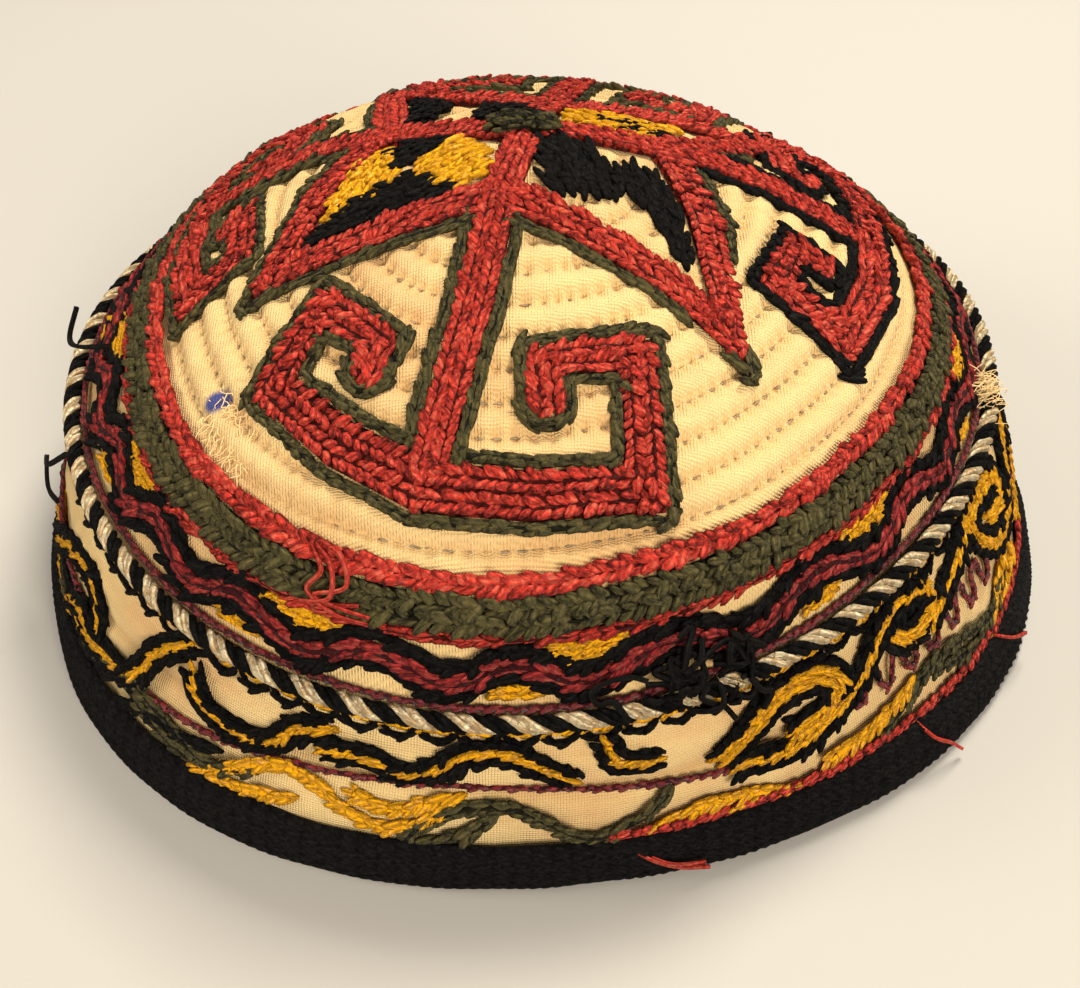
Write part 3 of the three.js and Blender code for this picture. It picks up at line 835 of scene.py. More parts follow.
def inside_outline(points, outline):
    """Which flat points lie inside a closed outline."""
    outline = np.asarray(outline, float)
    x, y = points[:, 0], points[:, 1]
    inside = np.zeros(len(points), bool)
    for (ax, ay), (bx, by) in zip(outline, np.roll(outline, -1, axis=0)):
        crosses = (ay > y) != (by > y)
        reach = (bx - ax) * (y - ay) / np.where(by == ay, 1e-9, by - ay) + ax
        inside ^= crosses & (x < reach)
    return inside


def gap_to(points, part, half, path):
    """How far flat points are from the edge of a red band."""
    halves = band_halves(part, half, path)
    path = np.asarray(path, float)
    start, way = path[:-1], np.diff(path, axis=0)
    rel = points[:, None] - start[None]
    share = np.clip((rel * way).sum(-1) / (way**2).sum(-1), 0, 1)
    width = halves[:-1] + (halves[1:] - halves[:-1]) * share
    return (np.linalg.norm(rel - share[..., None] * way, axis=-1) - width).min(1)


def runs_of(kept, path):
    """The unbroken runs of a path where a test holds."""
    runs, start = [], None
    for i, good in enumerate(list(kept) + [False]):
        if good and start is None:
            start = i
        if not good and start is not None:
            if i - start > 4:
                runs.append(path[start:i])
            start = None
    return runs


def flat_line(path, lift):
    """A guide line along a path of the crown's flat pattern."""
    return laid_line(*unroll(path), lift)


def red_rows(wanted):
    """Middles of the files of red stitches, two to a band."""
    lines = []
    for half, path in [row[2:] for row in PATTERN if row[0] == wanted]:
        halves = band_halves(wanted, half, path)
        lines += [flat_line(finer(offset_path(path, side * halves / 2)), lift=0.85) for side in (-1, 1)]
    return lines


# How dark the mats are painted: shade, as in the gaps between the stitches above them.
MAT_SHADE = -0.8


def bed_piece(name, strips, thread):
    """Low mats of thread under rows of stitches, painted dark as the shade in the gaps between the stitches.
    A strip is rows of points across it.
    """
    vertices, faces, start = [], [], 0
    for strip in strips:
        length, across = strip.shape[:2]
        i = np.arange(length - 1)[:, None] * across
        j = np.arange(across - 1)[None]
        quads = np.stack([i + j, i + j + 1, i + across + j + 1, i + across + j], axis=-1).reshape(-1, 4)
        vertices.append(strip.reshape(-1, 3))
        faces.append(quads + start)
        start += length * across
    piece = mesh_object(name, np.vstack(vertices), np.vstack(faces), [shared_material(thread)])
    set_float(piece.data, "shade", np.full(start, MAT_SHADE))
    return cap_piece(piece)


# Places across a mat, as parts of its half width, and its lift there, highest in the middle.
BED_LIFT = 0.85
BED_ACROSS = ((-1.0, 0.1), (-0.8, 0.7), (0.0, BED_LIFT), (0.8, 0.7), (1.0, 0.1))


def red_beds():
    """The mats under the crown's red bands."""
    strips = []
    for part, _, half, path in PATTERN:
        halves = band_halves(part, half, path)
        lines = []
        for share, lift in BED_ACROSS:
            side = offset_path(path, share * halves)
            steps = [np.linspace(a, b, 9)[:-1] for a, b in zip(side, side[1:])]
            line = np.vstack(steps + [side[-1:]])
            lines.append(cap_points(*unroll(line), lift))
        strips.append(np.stack(lines, axis=1))
    return strips


def ring_bed(arc, half, height):
    """A mat all round the cap."""
    azimuth = np.append(ring_azimuths(260), math.pi)
    lines = [cap_points(arc + x * half, azimuth, y * height / BED_LIFT) for x, y in BED_ACROSS]
    return np.stack(lines, axis=1)


def star_inside(points):
    """Which points lie inside the star's four points, where no outline runs."""
    inside = np.zeros(len(points), bool)
    for part, _, _, path in PATTERN:
        if part == "star":
            inside |= inside_outline(points, (*path, (0, 4)))
    return inside


def outlines():
    """The rows that outline the red bands on the open ground, with where each belongs."""
    found = []
    for index, (part, where, half, path) in enumerate(PATTERN):
        halves = band_halves(part, half, path)
        for side in (-1, 1):
            line = finer(offset_path(path, side * (halves + OUTLINE_AWAY)), step=0.7)
            keep = gap_to(line, part, half, path) > OUTLINE_AWAY - OUTLINE_SLACK
            for other, (part_other, _, half_other, path_other) in enumerate(PATTERN):
                if other != index:
                    keep &= gap_to(line, part_other, half_other, path_other) > OUTLINE_CLEAR
            keep &= ~star_inside(line)
            found += [(where, run) for run in runs_of(keep, line)]
        if part == "horn":
            end = np.asarray(path[-1], float)
            way = unit(end - np.asarray(path[-2], float))
            turn = np.linspace(-math.pi / 2, math.pi / 2, 12)
            across = np.array([-way[1], way[0]])
            away = halves[-1] + OUTLINE_AWAY
            cap = end + away * (0.7 * np.cos(turn)[:, None] * way + np.sin(turn)[:, None] * across)
            found.append((where, cap))
    return found


def patch_rows(wanted, gap):
    """Rows that fill the patches of one thread."""
    lines = []
    for thread, degrees, outline in PATCHES:
        if thread != wanted:
            continue
        outline = np.asarray(outline, float)
        turn = math.radians(degrees)
        way = np.array([math.cos(turn), math.sin(turn)])
        across = np.array([-way[1], way[0]])
        middle = outline.mean(0)
        reach = np.abs(outline - middle).max() * 1.5
        for shift in np.arange(-reach, reach, gap):
            share = np.arange(-reach, reach, 0.6)
            bow = 0.5 * np.sin(share / 5)
            line = middle + way * share[:, None] + across * (shift + bow)[:, None]
            lines += [flat_line(run, lift=0.7) for run in runs_of(inside_outline(line, outline), line)]
    return lines


def round_line(arc, lift, wobble=0.0, seed=1, start=0.0, stop=360.0):
    """A line round the cap at an arc."""
    azimuth = np.radians(np.arange(start, stop + 0.5, 1.0))
    place = SEAM_RADIUS * np.stack([np.sin(azimuth), np.cos(azimuth)], axis=-1)
    return laid_line(arc + wobble * waves(seed, place, count=6, shortest=10, longest=60), azimuth, lift)


# The cord: about the seam's radius, the cord's middle off the cloth, its plies' distance from
# that middle, their own radius and mesh, and how often their shading repeats round the cap.
SEAM_RADIUS = 80
SEAM_LENGTH = 2 * math.pi * SEAM_RADIUS
CORD_LIFT = 1.85
PLY_HELIX = 0.92
PLY_RADIUS = 0.6
PLY_SIDES = 7
PLY_STEP = 0.6
PLY_SHADING = round(SEAM_LENGTH / 3.2)


def cord_ply(turn, pitch):
    """One ply of the twisted cord: a tube that winds round the seam's line."""
    steps = int(SEAM_LENGTH / PLY_STEP)
    azimuth = ring_azimuths(steps)
    winds = round(SEAM_LENGTH / pitch)
    phase = azimuth * winds + turn
    soft = 1 + 0.05 * np.sin(azimuth * 23 + turn) + 0.13 * np.sin(azimuth * winds * 4 + turn)
    arc = SEAM_ARC + PLY_HELIX * np.sin(phase)
    at = cap_points(arc, azimuth, CORD_LIFT + PLY_HELIX * np.cos(phase))
    along = unit(np.roll(at, -1, axis=0) - np.roll(at, 1, axis=0))
    out = cap_out(np.full(steps, SEAM_ARC), azimuth)
    out = unit(out - along * (out * along).sum(1, keepdims=True))
    aside = np.cross(out, along)
    ring = np.arange(PLY_SIDES) / PLY_SIDES * 2 * math.pi
    reach = (PLY_RADIUS * soft * MM)[:, None, None]
    round_ = np.cos(ring)[None, :, None] * out[:, None] + np.sin(ring)[None, :, None] * aside[:, None]
    tube = at[:, None] + reach * round_
    share = np.arange(steps) / steps * PLY_SHADING
    uv = np.stack(np.broadcast_arrays(share[:, None], (ring / (2 * math.pi))[None]), axis=-1)
    return tube.reshape(-1, 3), uv.reshape(-1, 2), grid_faces(steps, PLY_SIDES, wrap_rows=True)


def cord_strand(name, turns, pitch, material, replaced=()):
    """A two-ply strand of the cord, in one colour."""
    parts, coordinates, faces, start = [], [], [], 0
    for turn in turns:
        tube, uv, quads = cord_ply(turn, pitch)
        parts.append(tube)
        coordinates.append(uv)
        faces.append(quads[:, ::-1] + start)
        start += len(tube)
    piece = mesh_object(name, np.vstack(parts), np.vstack(faces), [material])
    set_uv(piece.data, "UVMap", np.vstack(coordinates), wrap=PLY_SHADING)
    return cap_piece(piece, replaced)


def arc_at_height(height):
    """The arc where the section stands at a height over the floor."""
    return np.interp(-np.asarray(height, float), -HEIGHT, ARC)


def rim_points(height, azimuth, lift):
    """Points near the rim at exact heights."""
    points = cap_points(arc_at_height(height), azimuth, lift)
    points[..., 2] = np.broadcast_to(height, points.shape[:-1]) * MM
    return points


# The bound rim in section: height over the floor and lift off the cloth, in millimetres.
HEM_SECTION = (
    ("over the cloth's edge", 9.6, 0.3),
    ("top edge", 10.1, 0.9),
    ("top edge", 9.9, 1.6),
    ("face", 8.9, 2.2),
    ("face", 7.4, 2.35),
    ("face", 5.9, 2.45),
    ("face", 4.4, 2.5),
    ("face", 2.9, 2.4),
    ("turn under", 1.5, 2.2),
    ("turn under", 0.5, 1.8),
    ("foot", 0.05, 1.0),
    ("foot", 0.05, -1.4),
    ("inside", 0.8, -2.4),
    ("inside", 2.2, -2.4),
    ("inside", 2.2, 0.3),
)
# The rim's radius, the width of one file of the tape's cords, how far apart and how slanted the
# cords are, and the length of their shading.
RIM_RADIUS = 88
HEM_FILE = 2.6
HEM_RIB = 1.9
HEM_SLANT = 0.9
HEM_SHADING = 3.0


def hem_tape(material):
    """The woven tape bound over the rim, its cords slanting across its face."""
    columns = 900
    azimuth = ring_azimuths(columns)
    knots = np.array([row[1:] for row in HEM_SECTION])
    fine = []
    for (h0, l0), (h1, l1) in zip(knots, knots[1:]):
        count = max(int(math.hypot(h1 - h0, l1 - l0) / 0.45), 1)
        share = np.arange(count) / count
        fine.append(np.stack([h0 + (h1 - h0) * share, l0 + (l1 - l0) * share], axis=-1))
    fine = np.vstack(fine + [knots[-1:]])
    height, lift = (np.broadcast_to(v[:, None], (len(fine), columns)) for v in fine.T)
    around = azimuth[None] * RIM_RADIUS
    place = np.stack([SIDE_RADIUS * np.sin(azimuth), SIDE_RADIUS * np.cos(azimuth)], axis=-1)
    wave = waves(31, place, count=8, shortest=12, longest=50)[None]
    file = (height + 0.4 * wave) / HEM_FILE
    lean = np.where(np.floor(file) % 2 == 0, 1.0, -1.0)
    rib = np.abs(np.sin((around + lean * height * HEM_SLANT) * math.pi / HEM_RIB))
    trough = np.abs(np.sin(file * math.pi)) ** 0.5
    face = np.clip((lift - 1.0) / 1.0, 0, 1) * np.clip(height / 0.8, 0, 1)
    raised = lift + face * (0.55 * rib * trough - 0.25 + 0.15 * wave)
    points = rim_points(height + 0.25 * wave * np.clip((height - 6) / 3, 0, 1), azimuth[None], raised)
    piece = mesh_object("hem_tape", points.reshape(-1, 3), grid_faces(len(fine), columns), [material])
    around_uv = np.broadcast_to(around / HEM_SHADING, height.shape)
    uv = np.stack([around_uv, height / HEM_FILE], axis=-1).reshape(-1, 2)
    set_uv(piece.data, "UVMap", uv, wrap=2 * math.pi * RIM_RADIUS / HEM_SHADING)
    # Painted shade: the tape's shade value drops in the hollows between its cords and files.
    set_float(piece.data, "shade", (0.35 + 0.65 * (rib * trough)).ravel())
    return cap_piece(piece, ["hem_braid"])


# One degree round the side is about this many millimetres.
SIDE_DEGREE = 1.47


def side_mm(path):
    """A path of azimuths in degrees and arcs, as flat millimetres."""
    return np.asarray(path, float) * np.array([SIDE_DEGREE, 1.0])


def side_line(path, lift):
    """A guide line along a flat path of the side wall."""
    return laid_line(path[:, 1], np.radians(path[:, 0] / SIDE_DEGREE), lift)


def shifted(path, degrees):
    """A path turned round the cap."""
    return [(azimuth + degrees, arc) for azimuth, arc in path]


# The scrolling vine on the side wall, as azimuths in degrees and arcs in millimetres.
VINE = (
    ("far left", 0.7, (
        (-92, 121), (-84, 124), (-77, 117), (-71, 110),
        (-66, 105.5), (-60, 103.5), (-56.5, 106), (-56, 110.5),
    )),
    ("left leaf", 0.7, (
        (-64, 114), (-60, 111.5), (-57.5, 114), (-53, 112.5),
        (-49, 111.8), (-46.5, 108), (-44, 102), (-41, 98.6),
    )),
    ("left curl", 0.7, (
        (-38.5, 101.5), (-37, 105.5), (-32, 107.5),
        (-27.5, 105.8), (-25, 101.5), (-21.5, 100),
    )),
    ("left hook", 0.7, (
        (-21.5, 103.5), (-17, 103), (-13.5, 105), (-10, 103.2),
        (-6.5, 99.8), (-2.5, 99.8), (1, 102.8), (3.5, 105.5),
    )),
    ("middle hook", 0.7, ((7.5, 99.5), (8.5, 103), (12.5, 104.2))),
    ("big curl", 1.5, (
        (29, 108.6), (33.5, 107), (35, 102.8), (31.5, 99.8),
        (26.5, 100.6), (23, 104.4), (20.5, 107.8),
    )),
    ("middle stem", 0.7, ((22, 110.2), (29, 111), (36.5, 107.2), (41, 101.4), (46, 98.4), (51.5, 99.8))),
    ("middle curl", 1.1, ((51.5, 100.2), (51, 103.2), (46.5, 104.4), (44.5, 102.4))),
    ("right stem", 0.7, ((51, 105), (57, 101.6), (63, 98.4))),
    ("right curl", 1.3, ((63, 98.4), (69.5, 98.2), (73.5, 100.6), (72.5, 104), (68.5, 103.4))),
    ("right foot", 1.0, (
        (63.5, 100.8), (65.5, 105.4), (70.5, 108.4),
        (76.5, 106.4), (80, 102), (84.5, 99.8),
    )),
)
# How far the black rows' middles stay from the yellow of their own part and of the parts near it.
VINE_EDGE_AWAY = 0.85
VINE_EDGE_CLEAR = 0.35
VINE_NEAR = 60
# Round the back, the curls of the right-hand side come again at these azimuths.
VINE_REPEATED = ("right stem", "right curl", "right foot")
VINE_SHIFTS = (33, 66, 99, 132, 165)

# Leaves on the lower strip: thread, and the middle of each thick row.
LEAVES = (
    ("yellow", (
        (-37, 119), (-32, 114), (-27.5, 110.5), (-23.5, 110.5),
        (-20, 113.6), (-16, 116.4), (-12, 115), (-8, 110.2),
    )),
    ("yellow", ((-36.5, 119.3), (-30.5, 117.6), (-25.5, 115.6))),
    ("yellow", ((-18.5, 111), (-14.5, 112.6), (-10, 110.4))),
    ("green", (
        (-13, 119.5), (-11.5, 115.4), (-7, 111.2), (-1.5, 111.4),
        (2, 114.6), (6, 118.4), (10.5, 116), (14, 111.6),
    )),
    ("green", ((-10.5, 118.8), (-7, 116.4), (-4.5, 113.2))),
    ("yellow", ((10.5, 120.6), (14, 117.6), (18.5, 115.8), (23.5, 116.6), (29, 119))),
    ("yellow", ((12.5, 120.6), (19, 119.2), (24, 118.4))),
    ("yellow", ((33, 116.4), (39, 115), (45, 112.6))),
    ("green", ((38, 118.4), (44, 114.8), (50, 111.8), (56, 113.4), (62, 116), (68, 113.6))),
    ("green", ((50, 113.8), (55.5, 116.4), (60, 117.6))),
)
LEAF_SHIFTS = (98, 180, 262)
LEFT_LEAVES = (
    ("black", ((-68, 112.5), (-63, 116.5), (-57, 117.5), (-52, 115.5))),
    ("black", ((-50, 118.5), (-45, 115.2), (-40, 114.4), (-35, 113))),
    ("green", ((-76, 118.5), (-71, 116.2), (-66, 118.4))),
)
# The dark-red line under the vine: azimuths and arcs.
RED_LINE = (
    (-60, 113.5), (-45, 111.8), (-35, 110.6), (-25, 109), (-10, 107.2), (0, 107.6), (8, 109), (15, 110),
    (24, 110.8), (34, 110.4),
)
# The scallops under the cord: their width, the arcs of their ends and of their filling, and depth.
HALF_DOT_DEGREES = 4.2
HALF_DOT_ARC = 95.8
HALF_DOT_FILL_ARC = 96.3
HALF_DOT_DEPTH = 2.6


def side_paths(rows):
    """Smooth flat paths of named rows."""
    return [smooth_path(side_mm(row[-1])) for row in rows]


def vine_paths():
    """The vine's half widths and smooth middle lines, with the repeats round the back."""
    rows = list(VINE)
    repeated = [row for row in VINE if row[0] in VINE_REPEATED]
    rows += [(*row[:-1], shifted(row[-1], turn)) for turn in VINE_SHIFTS for row in repeated]
    return list(zip([row[1] for row in rows], side_paths(rows)))


def vine_edges(rows):
    """The black rows on both sides of the vine, left out where they would cross its yellow."""
    lines = []
    for half, path in rows:
        for side in (-1, 1):
            line = offset_path(path, side * (half + VINE_EDGE_AWAY))
            keep = np.ones(len(line), bool)
            for other_half, other in rows:
                if np.abs(other.mean(0) - line.mean(0)).max() < VINE_NEAR:
                    keep &= gap_to(line, "row", other_half, other) > VINE_EDGE_CLEAR
            lines += [side_line(run, lift=0.7) for run in runs_of(keep, line)]
    return lines


def leaf_paths(thread):
    """Smooth flat paths of the leaves of one thread, with the repeats round the back."""
    rows = list(LEAVES) + list(LEFT_LEAVES)
    rows += [(kind, shifted(path, turn)) for turn in LEAF_SHIFTS for kind, path in LEAVES]
    return side_paths([row for row in rows if row[0] == thread])


def half_dots(lift, fill):
    """Scallops along the foot of the cord, or the short rows that fill them."""
    lines = []
    for start in np.arange(-180, 179, HALF_DOT_DEGREES):
        share = np.linspace(0, 1, 9)
        if fill:
            inner = [start + HALF_DOT_DEGREES * (0.25 + 0.5 * t) for t in share[::2]]
            path = side_mm([(azimuth, HALF_DOT_FILL_ARC) for azimuth in inner])
        else:
            bow = HALF_DOT_ARC + HALF_DOT_DEPTH * np.sin(math.pi * share)
            path = side_mm(np.column_stack([start + HALF_DOT_DEGREES * share, bow]))
        lines.append(side_line(path, lift))
    return lines


def tooth_line(start, stop, low, high, pitch, lift):
    """A row of upright teeth, joined in turn at the top and the foot."""
    points = []
    for i, azimuth in enumerate(np.arange(start, stop, pitch / 2)):
        ends = (low, high) if i % 2 else (high, low)
        points += [(azimuth - pitch * 0.1, ends[0]), (azimuth + pitch * 0.1, ends[1])]
    return side_line(smooth_path(side_mm(points), step=0.5), lift)


TRIANGLE_ROW_GAP = 1.15


def triangle_rows(dips, top, rows, half_top, lift):
    """Short rows that fill triangles hanging from an arc at each azimuth."""
    lines = []
    for dip in dips:
        for i in range(rows):
            half = half_top * (1 - 0.75 * i / rows)
            path = [(dip + half * t, top + TRIANGLE_ROW_GAP * i) for t in np.linspace(-1, 1, 9)]
            lines.append(side_line(side_mm(path), lift))
    return lines


def quilting_rows(sizes):
    """The quilting's own stitched lines, down in the cloth."""
    azimuth = np.append(ring_azimuths(360), math.pi)
    arcs = [FIRST_RIB_ARC + ring * RIB_PITCH - quilting_drift(azimuth) for ring in range(1, 13)]
    return [laid_line(arc, azimuth, -0.55 * sizes.puff_height + 0.02) for arc in arcs]


def tube_piece(name, strands, radius, thread):
    """Loose threads: thin round tubes along lines in metres."""
    curve = bpy.data.curves.new(name, "CURVE")
    curve.dimensions = "3D"
    curve.bevel_depth = radius * MM
    curve.bevel_resolution = 0
    curve.use_fill_caps = True
    for strand in strands:
        spline = curve.splines.new("POLY")
        spline.points.add(len(strand) - 1)
        spline.points.foreach_set("co", np.hstack([strand, np.ones((len(strand), 1))]).ravel())
    curve.materials.append(shared_material(thread))
    piece = plain_copy(name, linked(name + "_lines", curve))
    set_float(piece.data, "shade", np.ones(len(piece.data.vertices)))
    return cap_piece(piece)


def strand_over(path, lifts, turns=0.0, seed=0):
    """A loose strand above the cloth through azimuths, arcs and lifts, in metres."""
    path = np.column_stack([side_mm(path), lifts])
    if turns:
        path = path + np.random.default_rng(seed).normal(size=path.shape) * turns
        path[:, 2] = np.abs(path[:, 2]) + 0.5
    smooth = smooth_path(path, count=6)
    points = cap_points(smooth[:, 1], np.radians(smooth[:, 0] / SIDE_DEGREE), smooth[:, 2])
    points[:, 2] = np.maximum(points[:, 2], 0.5 * MM)
    return points


def frayed_fibres(middle, spread, count, length, seed, lift, stray):
    """A patch of short fibres that lie down the cloth, more or less astray. The middle is an
    azimuth in degrees and an arc."""
    rng = np.random.default_rng(seed)
    strands = []
    for _ in range(count):
        path = [np.array(middle, float) + rng.normal(size=2) * spread]
        heading = math.pi / 2 + rng.normal() * stray
        for _ in range(4):
            heading += rng.normal() * min(stray, 0.7)
            step = length / 4 * rng.uniform(0.5, 1.2)
            squeeze = SIDE_DEGREE * max(math.sin(min(path[0][1], 90) / 58), 0.3)
            path.append(path[-1] + step * np.array([math.cos(heading) / squeeze, math.sin(heading)]))
        strands.append(strand_over(path, lift * rng.uniform(0.1, 1.6, 5)))
    return strands


TANGLE_AZIMUTH = 13.5
TANGLE_ARC = 91.0


def tangled_strands(count):
    """Strands that wander over the cord near the front."""
    rng = np.random.default_rng(8)
    strands = []
    for number in range(count):
        reach = rng.normal(size=(7, 2)) * (2.6, 3.6)
        start = (TANGLE_AZIMUTH + number % 6 * 1.9, TANGLE_ARC)
        path = np.array(start) + np.cumsum(reach, axis=0) * 0.45
        strands.append(strand_over(path, 1.2 + 2.6 * rng.random(7), turns=0.5, seed=number))
    return strands


class Skullcap_Sizes(bpy.types.PropertyGroup):
    """Sizes of the cap's stitching and cloth, in millimetres."""

    puff_height: bpy.props.FloatProperty(
        name="Quilting height", description="How far the quilting stands between its lines", default=1.4
    )
    stitch_gap: bpy.props.FloatProperty(
        name="Quilting stitch", description="From one quilting stitch to the next", default=2.6
    )
    cord_pitch: bpy.props.FloatProperty(
        name="Cord pitch", description="Length of one turn of the twisted cord", default=8.0
    )


class Skullcap_Colours(bpy.types.PropertyGroup):
    """Colours of the cap's threads and cloth."""

    cotton: bpy.props.FloatVectorProperty(
        name="Cotton", description="Cream ground cloth", subtype="COLOR", default=(0.86, 0.65, 0.3)
    )
    red: bpy.props.FloatVectorProperty(
        name="Red", description="Brick-red floss", subtype="COLOR", default=(0.74, 0.05, 0.032)
    )
    green: bpy.props.FloatVectorProperty(
        name="Green", description="Olive-green floss", subtype="COLOR", default=(0.115, 0.1, 0.034)
    )
    yellow: bpy.props.FloatVectorProperty(
        name="Yellow", description="Golden-yellow floss", subtype="COLOR", default=(1.0, 0.47, 0.004)
    )
    black: bpy.props.FloatVectorProperty(
        name="Black", description="Black floss", subtype="COLOR", default=(0.010, 0.0095, 0.0092)
    )


# Threads and fibres that have no colour setting: their colour, the painted shade colour of their
# gaps and grooves, and their sheen.
PLAIN_THREADS = {
    "pale": ((0.9, 0.72, 0.46), (0.5, 0.34, 0.17), 0.1),
    "white": ((1.0, 0.88, 0.6), (0.6, 0.4, 0.2), 0.0),
    "dark red": ((0.33, 0.018, 0.025), (0.05, 0.005, 0.008), 0.1),
    "worn red": ((0.44, 0.03, 0.03), (0.03, 0.003, 0.004), 0.03),
    "dark braid": ((0.0115, 0.011, 0.0115), (0.001, 0.001, 0.001), 0.0),
}
# Painted shade: the floss's gaps and grooves are painted in this part of its colour.
GAP_SHADE_SHARES = {"red": 0.06, "green": 0.06, "yellow": 0.72, "black": 0.1}
# The cotton's stain colour; darker parts of it also colour the painted shade between the weave's threads and
# in the grooves.
COTTON_STAIN_AND_SHADE = (0.7, 0.43, 0.19)
LINT = (0.84, 0.62, 0.32)


def shared_material(name):
    """One of the cap's materials, made when it is first asked for."""
    title = "embroidered " + name
    made = bpy.data.materials.get(title)
    if made:
        return made
    colours = bpy.context.scene.skullcap_colours
    if name == "cotton":
        return cotton_material(title, colours.cotton, COTTON_STAIN_AND_SHADE)
    if name == "lint":
        return lint_material(title, LINT)
    if name in PLAIN_THREADS:
        return thread_material(title, *PLAIN_THREADS[name])
    colour = getattr(colours, name)
    shaded_colour = [c * GAP_SHADE_SHARES[name] for c in colour]
    return thread_material(title, colour, shaded_colour, 0.0 if name == "black" else 0.03)


class SKULLCAP_OT_cloth(bpy.types.Operator):
    """Make the quilted crown and the side wall"""

    bl_idname = "skullcap.cloth"
    bl_label = "Cloth"

    def execute(self, context):
        crown_cloth(context.scene.skullcap_sizes, shared_material("cotton"))
        side_cloth(shared_material("cotton"))
        return {"FINISHED"}


class SKULLCAP_OT_pattern(bpy.types.Operator):
    """Stitch the star and the ram's horns on the crown"""

    bl_idname = "skullcap.pattern"
    bl_label = "Crown pattern"

    def execute(self, context):
        bed_piece("red_mats", red_beds(), "red")
        stitch_rows("horns_red", red_rows("horn"), "red", "wide plait")
        lines = red_rows("stem") + red_rows("star")
        stitch_rows("star_and_stems_red", lines, "red", "plait", ["star_and_horns"])
        found = outlines()
        for thread, on_right in (("green", False), ("black", True)):
            lines = [flat_line(run, lift=0.6) for where, run in found if (where == "right") == on_right]
            stitch_rows("outlines_" + thread, lines, thread, "outline")
        for thread in ("yellow", "black"):
            stitch_rows("patches_" + thread, patch_rows(thread, gap=1.7), thread, "patch")
        return {"FINISHED"}


# Azimuths of the zigzag's dips, over the yellow and the cream triangles in turn.
CHARTED_DIPS = (-87, -74, -59, -43, -26, -9, 5, 25, 46, 64, 82)
HIDDEN_DIPS = 11
PEAK_ARC = 84.6
DIP_ARC = 88


def zigzag_dips():
    """The charted dips, then evenly spaced ones round the back to where they start."""
    step = (CHARTED_DIPS[0] + 360 - CHARTED_DIPS[-1]) / (HIDDEN_DIPS + 1)
    return [*CHARTED_DIPS, *(CHARTED_DIPS[-1] + (i + 1) * step for i in range(HIDDEN_DIPS))]


def zigzag_line(aside, lift):
    """The zigzag's middle, moved down the cloth by a distance."""
    dips = zigzag_dips()
    ends = np.array(dips + [dips[0] + 360], float)
    azimuth = np.arange(ends[0], ends[-1] + 0.5, 1.0)
    phase = np.interp(azimuth, ends, np.arange(len(ends)))
    arc = PEAK_ARC + (DIP_ARC - PEAK_ARC) * (0.5 + 0.5 * np.cos(2 * math.pi * phase))
    return laid_line(arc + aside, np.radians(azimuth), lift)


class SKULLCAP_OT_border(bpy.types.Operator):
    """Stitch the border rows and the zigzag round the shoulder"""

    bl_idname = "skullcap.border"
    bl_label = "Border rows and zigzag"

    def execute(self, context):
        dips = zigzag_dips()
        peaks = [(a + b) / 2 for a, b in zip(dips, dips[1:] + [dips[0] + 360])]
        triangles = triangle_rows(dips[::2], top=82.2, rows=3, half_top=4.4, lift=0.6)
        triangles += triangle_rows(peaks[1::2], top=88.6, rows=2, half_top=3.0, lift=0.5)
        inner = round_line(INNER_ROW_ARC, lift=0.9, wobble=0.25, seed=3)
        middle = [round_line(GREEN_ROW_ARC + a, lift=1.25, wobble=0.2, seed=5) for a in (-1.2, 1.2)]
        outer = round_line(OUTER_ROW_ARC, lift=0.6, wobble=0.2, seed=7)
        by_cord = round_line(SEAM_ARC - 2.1, lift=0.7, wobble=0.15, seed=9)
        zigzag = zigzag_line(aside=0.1, lift=0.8)
        edges = [zigzag_line(aside, lift=0.65) for aside in (-2.5, 2.3)]
        stitch_rows("border_red", [inner], "red", "border twist", ["border_row_inner"])
        bed_piece("green_mat", [ring_bed(GREEN_ROW_ARC, half=2.5, height=1.1)], "green")
        stitch_rows("border_green", middle, "green", "border plait", ["border_row_green"])
        stitch_rows("border_red_thin", [outer], "red", "border line", ["border_row_outer"])
        stitch_rows("zigzag_red", [zigzag], "worn red", "zigzag", ["shoulder_zigzag"])
        stitch_rows("zigzag_black", edges, "black", "zigzag edge")
        stitch_rows("triangles_yellow", triangles, "yellow", "triangle")
        stitch_rows("seam_line_red", [by_cord], "dark red", "seam line")
        return {"FINISHED"}


class SKULLCAP_OT_edges(bpy.types.Operator):
    """Make the twisted cord over the seam and the woven tape round the rim"""

    bl_idname = "skullcap.edges"
    bl_label = "Cord and rim tape"

    def execute(self, context):
        pitch = context.scene.skullcap_sizes.cord_pitch
        quarter = math.pi / 2
        cord_strand("cord_white", (0, quarter), pitch, shared_material("white"), ["seam_cord"])
        cord_strand("cord_black", (2 * quarter, 3 * quarter), pitch, shared_material("black"))
        hem_tape(shared_material("dark braid"))
        return {"FINISHED"}


